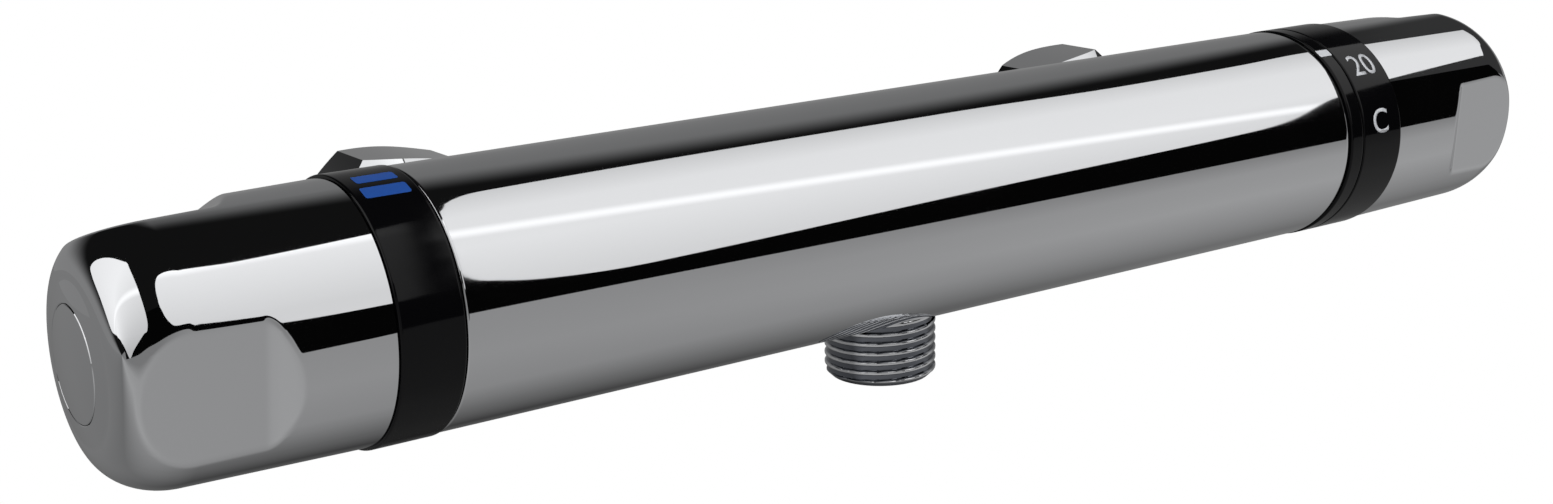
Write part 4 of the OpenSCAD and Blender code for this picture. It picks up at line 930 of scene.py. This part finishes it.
def studio_card(name, radius, low, high, count, material):
    """A curved card round the bar between two lines of (place along the bar, degrees over the front)."""
    rows = []
    for k in range(count + 1):
        x = low[0][0] + (low[-1][0] - low[0][0]) * k / count
        y0, y1 = through(low, x), through(high, x)
        rows.append([round_bar(x, radius, math.radians(y0 + (y1 - y0) * m / card_columns))
                     for m in range(card_columns + 1)])
    sheet_of(name, rows, material)


front_turn = 172.0


def round_the_bar(tree, place):
    """The angle round the bar in degrees, from its back by way of its underside: 82 below, 172 in front,
    262 above and 352 behind. The second value is the place along the bar."""
    split = add(tree, "ShaderNodeSeparateXYZ", None, {"Vector": place})
    front = add(tree, "ShaderNodeMath", {"operation": "SUBTRACT"}, {0: axis_y, 1: split.outputs["Y"]})
    angle = add(tree, "ShaderNodeMath", {"operation": "ARCTAN2"}, {0: split.outputs["Z"], 1: front})
    degrees = add(tree, "ShaderNodeMath", {"operation": "DEGREES"}, {0: angle})
    start = add(tree, "ShaderNodeMath", {"operation": "ADD"}, {0: degrees, 1: front_turn})
    turn = add(tree, "ShaderNodeMath", {"operation": "FLOORED_MODULO"}, {0: start, 1: 360.0})
    return turn.outputs["Value"], split.outputs["X"]


def grey_ramp(tree, turn, *stops):
    """A grey that changes with the angle, by a few stops."""
    share = add(tree, "ShaderNodeMapRange", None, {"Value": turn, "From Min": 0.0, "From Max": 360.0})
    tone = add(tree, "ShaderNodeValToRGB", None, {"Fac": share})
    band = tone.color_ramp
    band.elements.remove(band.elements[1])
    band.elements[0].position = stops[0][0] / 360
    band.elements[0].color = hex_colour("#" + stops[0][1] * 3)
    for angle, code in stops[1:]:
        band.elements.new(angle / 360).color = hex_colour("#" + code * 3)
    return tone.outputs["Color"]


# The tent's cloth: grey below and in front, darkest under the bar's left end, dark overhead, and a grey
# sheet behind whose soft upper edge is an arch. All cards glow a little brighter than white, so that
# chrome mirrors a white card as white.
card_level = 1.25
tent_r = 0.92
tent_half = 6.0
tent_columns = 24
end_rings = 4
end_facets = 60
front_top = (200.0, 201.0)
darkest_x = 0.3
darkest_reach = 0.8
arch_x = 0.65
arch_rise = 66.0
arch_limit = 46.0
arch_edge = (277.0, 304.0)
paler_overhead = (1.1, 1.35)
tent_cloth, tree, place = new_material("tent_cloth")
turn, along = round_the_bar(tree, place)
under_left = grey_ramp(tree, turn, (0, "68"), (42, "38"), (72, "66"), (97, "84"), (132, "8C"), (172, "88"))
under_far = grey_ramp(tree, turn, (0, "74"), (52, "68"), (82, "80"), (122, "98"), (150, "92"), (172, "74"))
past_darkest = add(tree, "ShaderNodeMath", {"operation": "SUBTRACT"}, {0: along, 1: darkest_x})
from_darkest = add(tree, "ShaderNodeMath", {"operation": "ABSOLUTE"}, {0: past_darkest})
far = add(tree, "ShaderNodeMapRange", {"interpolation_type": "SMOOTHSTEP"},
          {"Value": from_darkest, "From Min": 0.0, "From Max": darkest_reach})
under = add(tree, "ShaderNodeMix", {"data_type": "RGBA"}, {"Factor": far, "A": under_left, "B": under_far})
from_arch = add(tree, "ShaderNodeMath", {"operation": "SUBTRACT"}, {0: along, 1: arch_x})
squared = add(tree, "ShaderNodeMath", {"operation": "POWER"}, {0: from_arch, 1: 2.0})
fall = add(tree, "ShaderNodeMath", {"operation": "MULTIPLY"}, {0: squared, 1: arch_rise})
arch = add(tree, "ShaderNodeMath", {"operation": "MINIMUM"}, {0: fall, 1: arch_limit})
behind = add(tree, "ShaderNodeMath", {"operation": "SUBTRACT"}, {0: turn, 1: arch})
back_grey = grey_ramp(tree, turn, (292, "66"), (337, "70"), (350, "7A"))
to_right = add(tree, "ShaderNodeMapRange", {"interpolation_type": "SMOOTHSTEP"},
               {"Value": along, "From Min": paler_overhead[0], "From Max": paler_overhead[1]})
overhead = add(tree, "ShaderNodeMix", {"data_type": "RGBA"},
               {"Factor": to_right, "A": hex_colour("#101010"), "B": hex_colour("#303030")})
past_arch = add(tree, "ShaderNodeMapRange", {"interpolation_type": "SMOOTHSTEP"},
                {"Value": behind, "From Min": arch_edge[0], "From Max": arch_edge[1]})
over = add(tree, "ShaderNodeMix", {"data_type": "RGBA"}, {"Factor": past_arch, "A": overhead, "B": back_grey})
above = add(tree, "ShaderNodeMapRange", {"interpolation_type": "SMOOTHSTEP"},
            {"Value": turn, "From Min": front_top[0], "From Max": front_top[1]})
cloth = add(tree, "ShaderNodeMix", {"data_type": "RGBA"}, {"Factor": above, "A": under, "B": over})
card = add(tree, "ShaderNodeEmission", None, {"Color": cloth, "Strength": card_level})
add(tree, "ShaderNodeOutputMaterial", None, {"Surface": card})
tent_low, tent_high = ([(-tent_half, degrees), (tent_half, degrees)] for degrees in (-180, 180))
studio_card("tent", tent_r, tent_low, tent_high, tent_columns, tent_cloth)
for side, x in (("left", -tent_half), ("right", tent_half)):
    rows = [[round_bar(x, tent_r * k / end_rings, math.radians(-180 + 360 * m / end_facets))
             for m in range(end_facets + 1)] for k in range(end_rings + 1)]
    sheet_of("tent_end_" + side, rows, tent_cloth)

# Black felt hangs in front, under the boxes.
flag_r = 0.91
flag_rows = 400
black_felt, tree, place = new_material("black_felt")
card = add(tree, "ShaderNodeEmission", None, {"Color": hex_colour("#040404"), "Strength": card_level})
add(tree, "ShaderNodeOutputMaterial", None, {"Surface": card})
flag_low = [(-5.9, 0), (-3.2, 8), (-1.5, 14), (-0.7, 21), (-0.1, 21), (0.06, 14), (0.13, -6), (0.24, -8),
            (0.33, -3.8), (0.7, -5.8), (1.1, -6.2), (3.0, -4.2)]
flag_high = [(-5.9, 50), (3.0, 50)]
studio_card("flag", flag_r, flag_low, flag_high, flag_rows, black_felt)

tube_half = 6.0


# Soft box cloth: white, a little greyer to its edges, with the tube behind it showing as a bright line.
def box_cloth(name, tube_slope, tube_height, *stops):
    material, tree, place = new_material(name)
    turn, along = round_the_bar(tree, place)
    tube = add(tree, "ShaderNodeMath", {"operation": "MULTIPLY_ADD"},
               {0: along, 1: tube_slope, 2: front_turn + tube_height})
    past_tube = add(tree, "ShaderNodeMath", {"operation": "SUBTRACT"}, {0: turn, 1: tube})
    off_tube = add(tree, "ShaderNodeMath", {"operation": "ABSOLUTE"}, {0: past_tube})
    away = add(tree, "ShaderNodeMapRange", {"interpolation_type": "SMOOTHSTEP"},
               {"Value": off_tube, "From Min": 0.0, "From Max": tube_half})
    cloth = add(tree, "ShaderNodeMix", {"data_type": "RGBA"},
                {"Factor": away, "A": hex_colour("#FFFFFF"), "B": grey_ramp(tree, turn, *stops)})
    card = add(tree, "ShaderNodeEmission", None, {"Color": cloth, "Strength": card_level})
    add(tree, "ShaderNodeOutputMaterial", None, {"Surface": card})
    return material


# The three boxes: one along the front, one before the bar's left end and a large one to its left.
box_r = 0.9
main_rows, side_rows, left_rows = 350, 130, 540
main_cloth = box_cloth("front_box_cloth", -36.0, 76.0, (172, "CC"), (222, "E2"), (252, "E0"), (276, "C8"))
main_low = [(0.32, 62), (0.33, 31), (0.36, 18), (0.41, 11), (0.47, 9), (0.75, 16), (1.04, 22), (1.09, 27),
            (1.14, 41), (1.25, 51), (1.4, 62), (1.56, 73), (1.75, 84), (1.9, 90), (2.0, 97)]
main_high = [(0.32, 70), (0.335, 95), (0.37, 102.5), (0.75, 104), (0.9, 101), (1.05, 103), (1.12, 106),
             (1.75, 106), (1.9, 104), (2.0, 99)]
studio_card("soft_box_main", box_r, main_low, main_high, main_rows, main_cloth)
side_cloth = box_cloth("side_box_cloth", 0.0, 76.0, (200, "D0"), (222, "DC"), (252, "EA"))
side_low = [(-0.34, 49), (-0.31, 41), (-0.25, 35), (-0.15, 32), (0.13, 30), (0.17, 19), (0.29, 17),
            (0.305, 19)]
side_high = [(-0.34, 53), (-0.31, 62), (-0.25, 70), (-0.15, 75), (0.13, 77), (0.17, 75), (0.29, 80),
             (0.305, 82)]
studio_card("soft_box_side", box_r, side_low, side_high, side_rows, side_cloth)
left_cloth = box_cloth("left_box_cloth", -17.0, 61.0, (192, "B4"), (232, "D6"), (272, "F0"), (322, "E6"))
left_low = [(-5.9, 60), (-4.5, 30), (-3.2, 8), (-1.9, 21), (-0.9, 34), (-0.72, 41), (-0.62, 68),
            (-0.48, 98)]
left_high = [(-5.9, 110), (-4.5, 140), (-3.2, 157), (-1.5, 153), (-0.9, 151), (-0.77, 141), (-0.62, 121),
             (-0.48, 101)]
studio_card("soft_box_left", box_r, left_low, left_high, left_rows, left_cloth)

# The floor: painted pale, and shown as plain white to the camera and in the chrome.
# The key lamp is a large soft one, above and in front of the bar.
floor_z = -1.1
floor_half = 4
pale_floor, tree, place = new_material("pale_floor")
paint = add(tree, "ShaderNodeBsdfDiffuse", None, {"Color": hex_colour("#F2F2F2")})
bright = add(tree, "ShaderNodeEmission", None, {"Color": hex_colour("#FFFFFF")})
both = add(tree, "ShaderNodeMixShader", None, {0: plainly_seen(tree), 1: paint, 2: bright})
add(tree, "ShaderNodeOutputMaterial", None, {"Surface": both})
floor_mesh = bpy.data.meshes.new("floor")
corners = [(x * floor_half, y * floor_half, floor_z) for x, y in ((-1, -1), (1, -1), (1, 1), (-1, 1))]
floor_mesh.from_pydata(corners, [], [(0, 1, 2, 3)])
floor_mesh.materials.append(pale_floor)
floor = bpy.data.objects.new("floor", floor_mesh)
bpy.context.scene.collection.objects.link(floor)

key_length, key_width = 0.8, 0.5
key_watts = 9.0
key_x, key_front, key_height = -0.1, 0.6, 0.8
key_tilt = math.radians(37)
lamp_data = bpy.data.lights.new("key", "AREA")
lamp_data.shape = "RECTANGLE"
lamp_data.size, lamp_data.size_y = key_length, key_width
lamp_data.energy = key_watts
lamp = bpy.data.objects.new("key", lamp_data)
lamp.location = (key_x, axis_y - key_front, key_height)
lamp.rotation_euler = (key_tilt, 0, 0)
lamp.visible_glossy = False
bpy.context.scene.collection.objects.link(lamp)
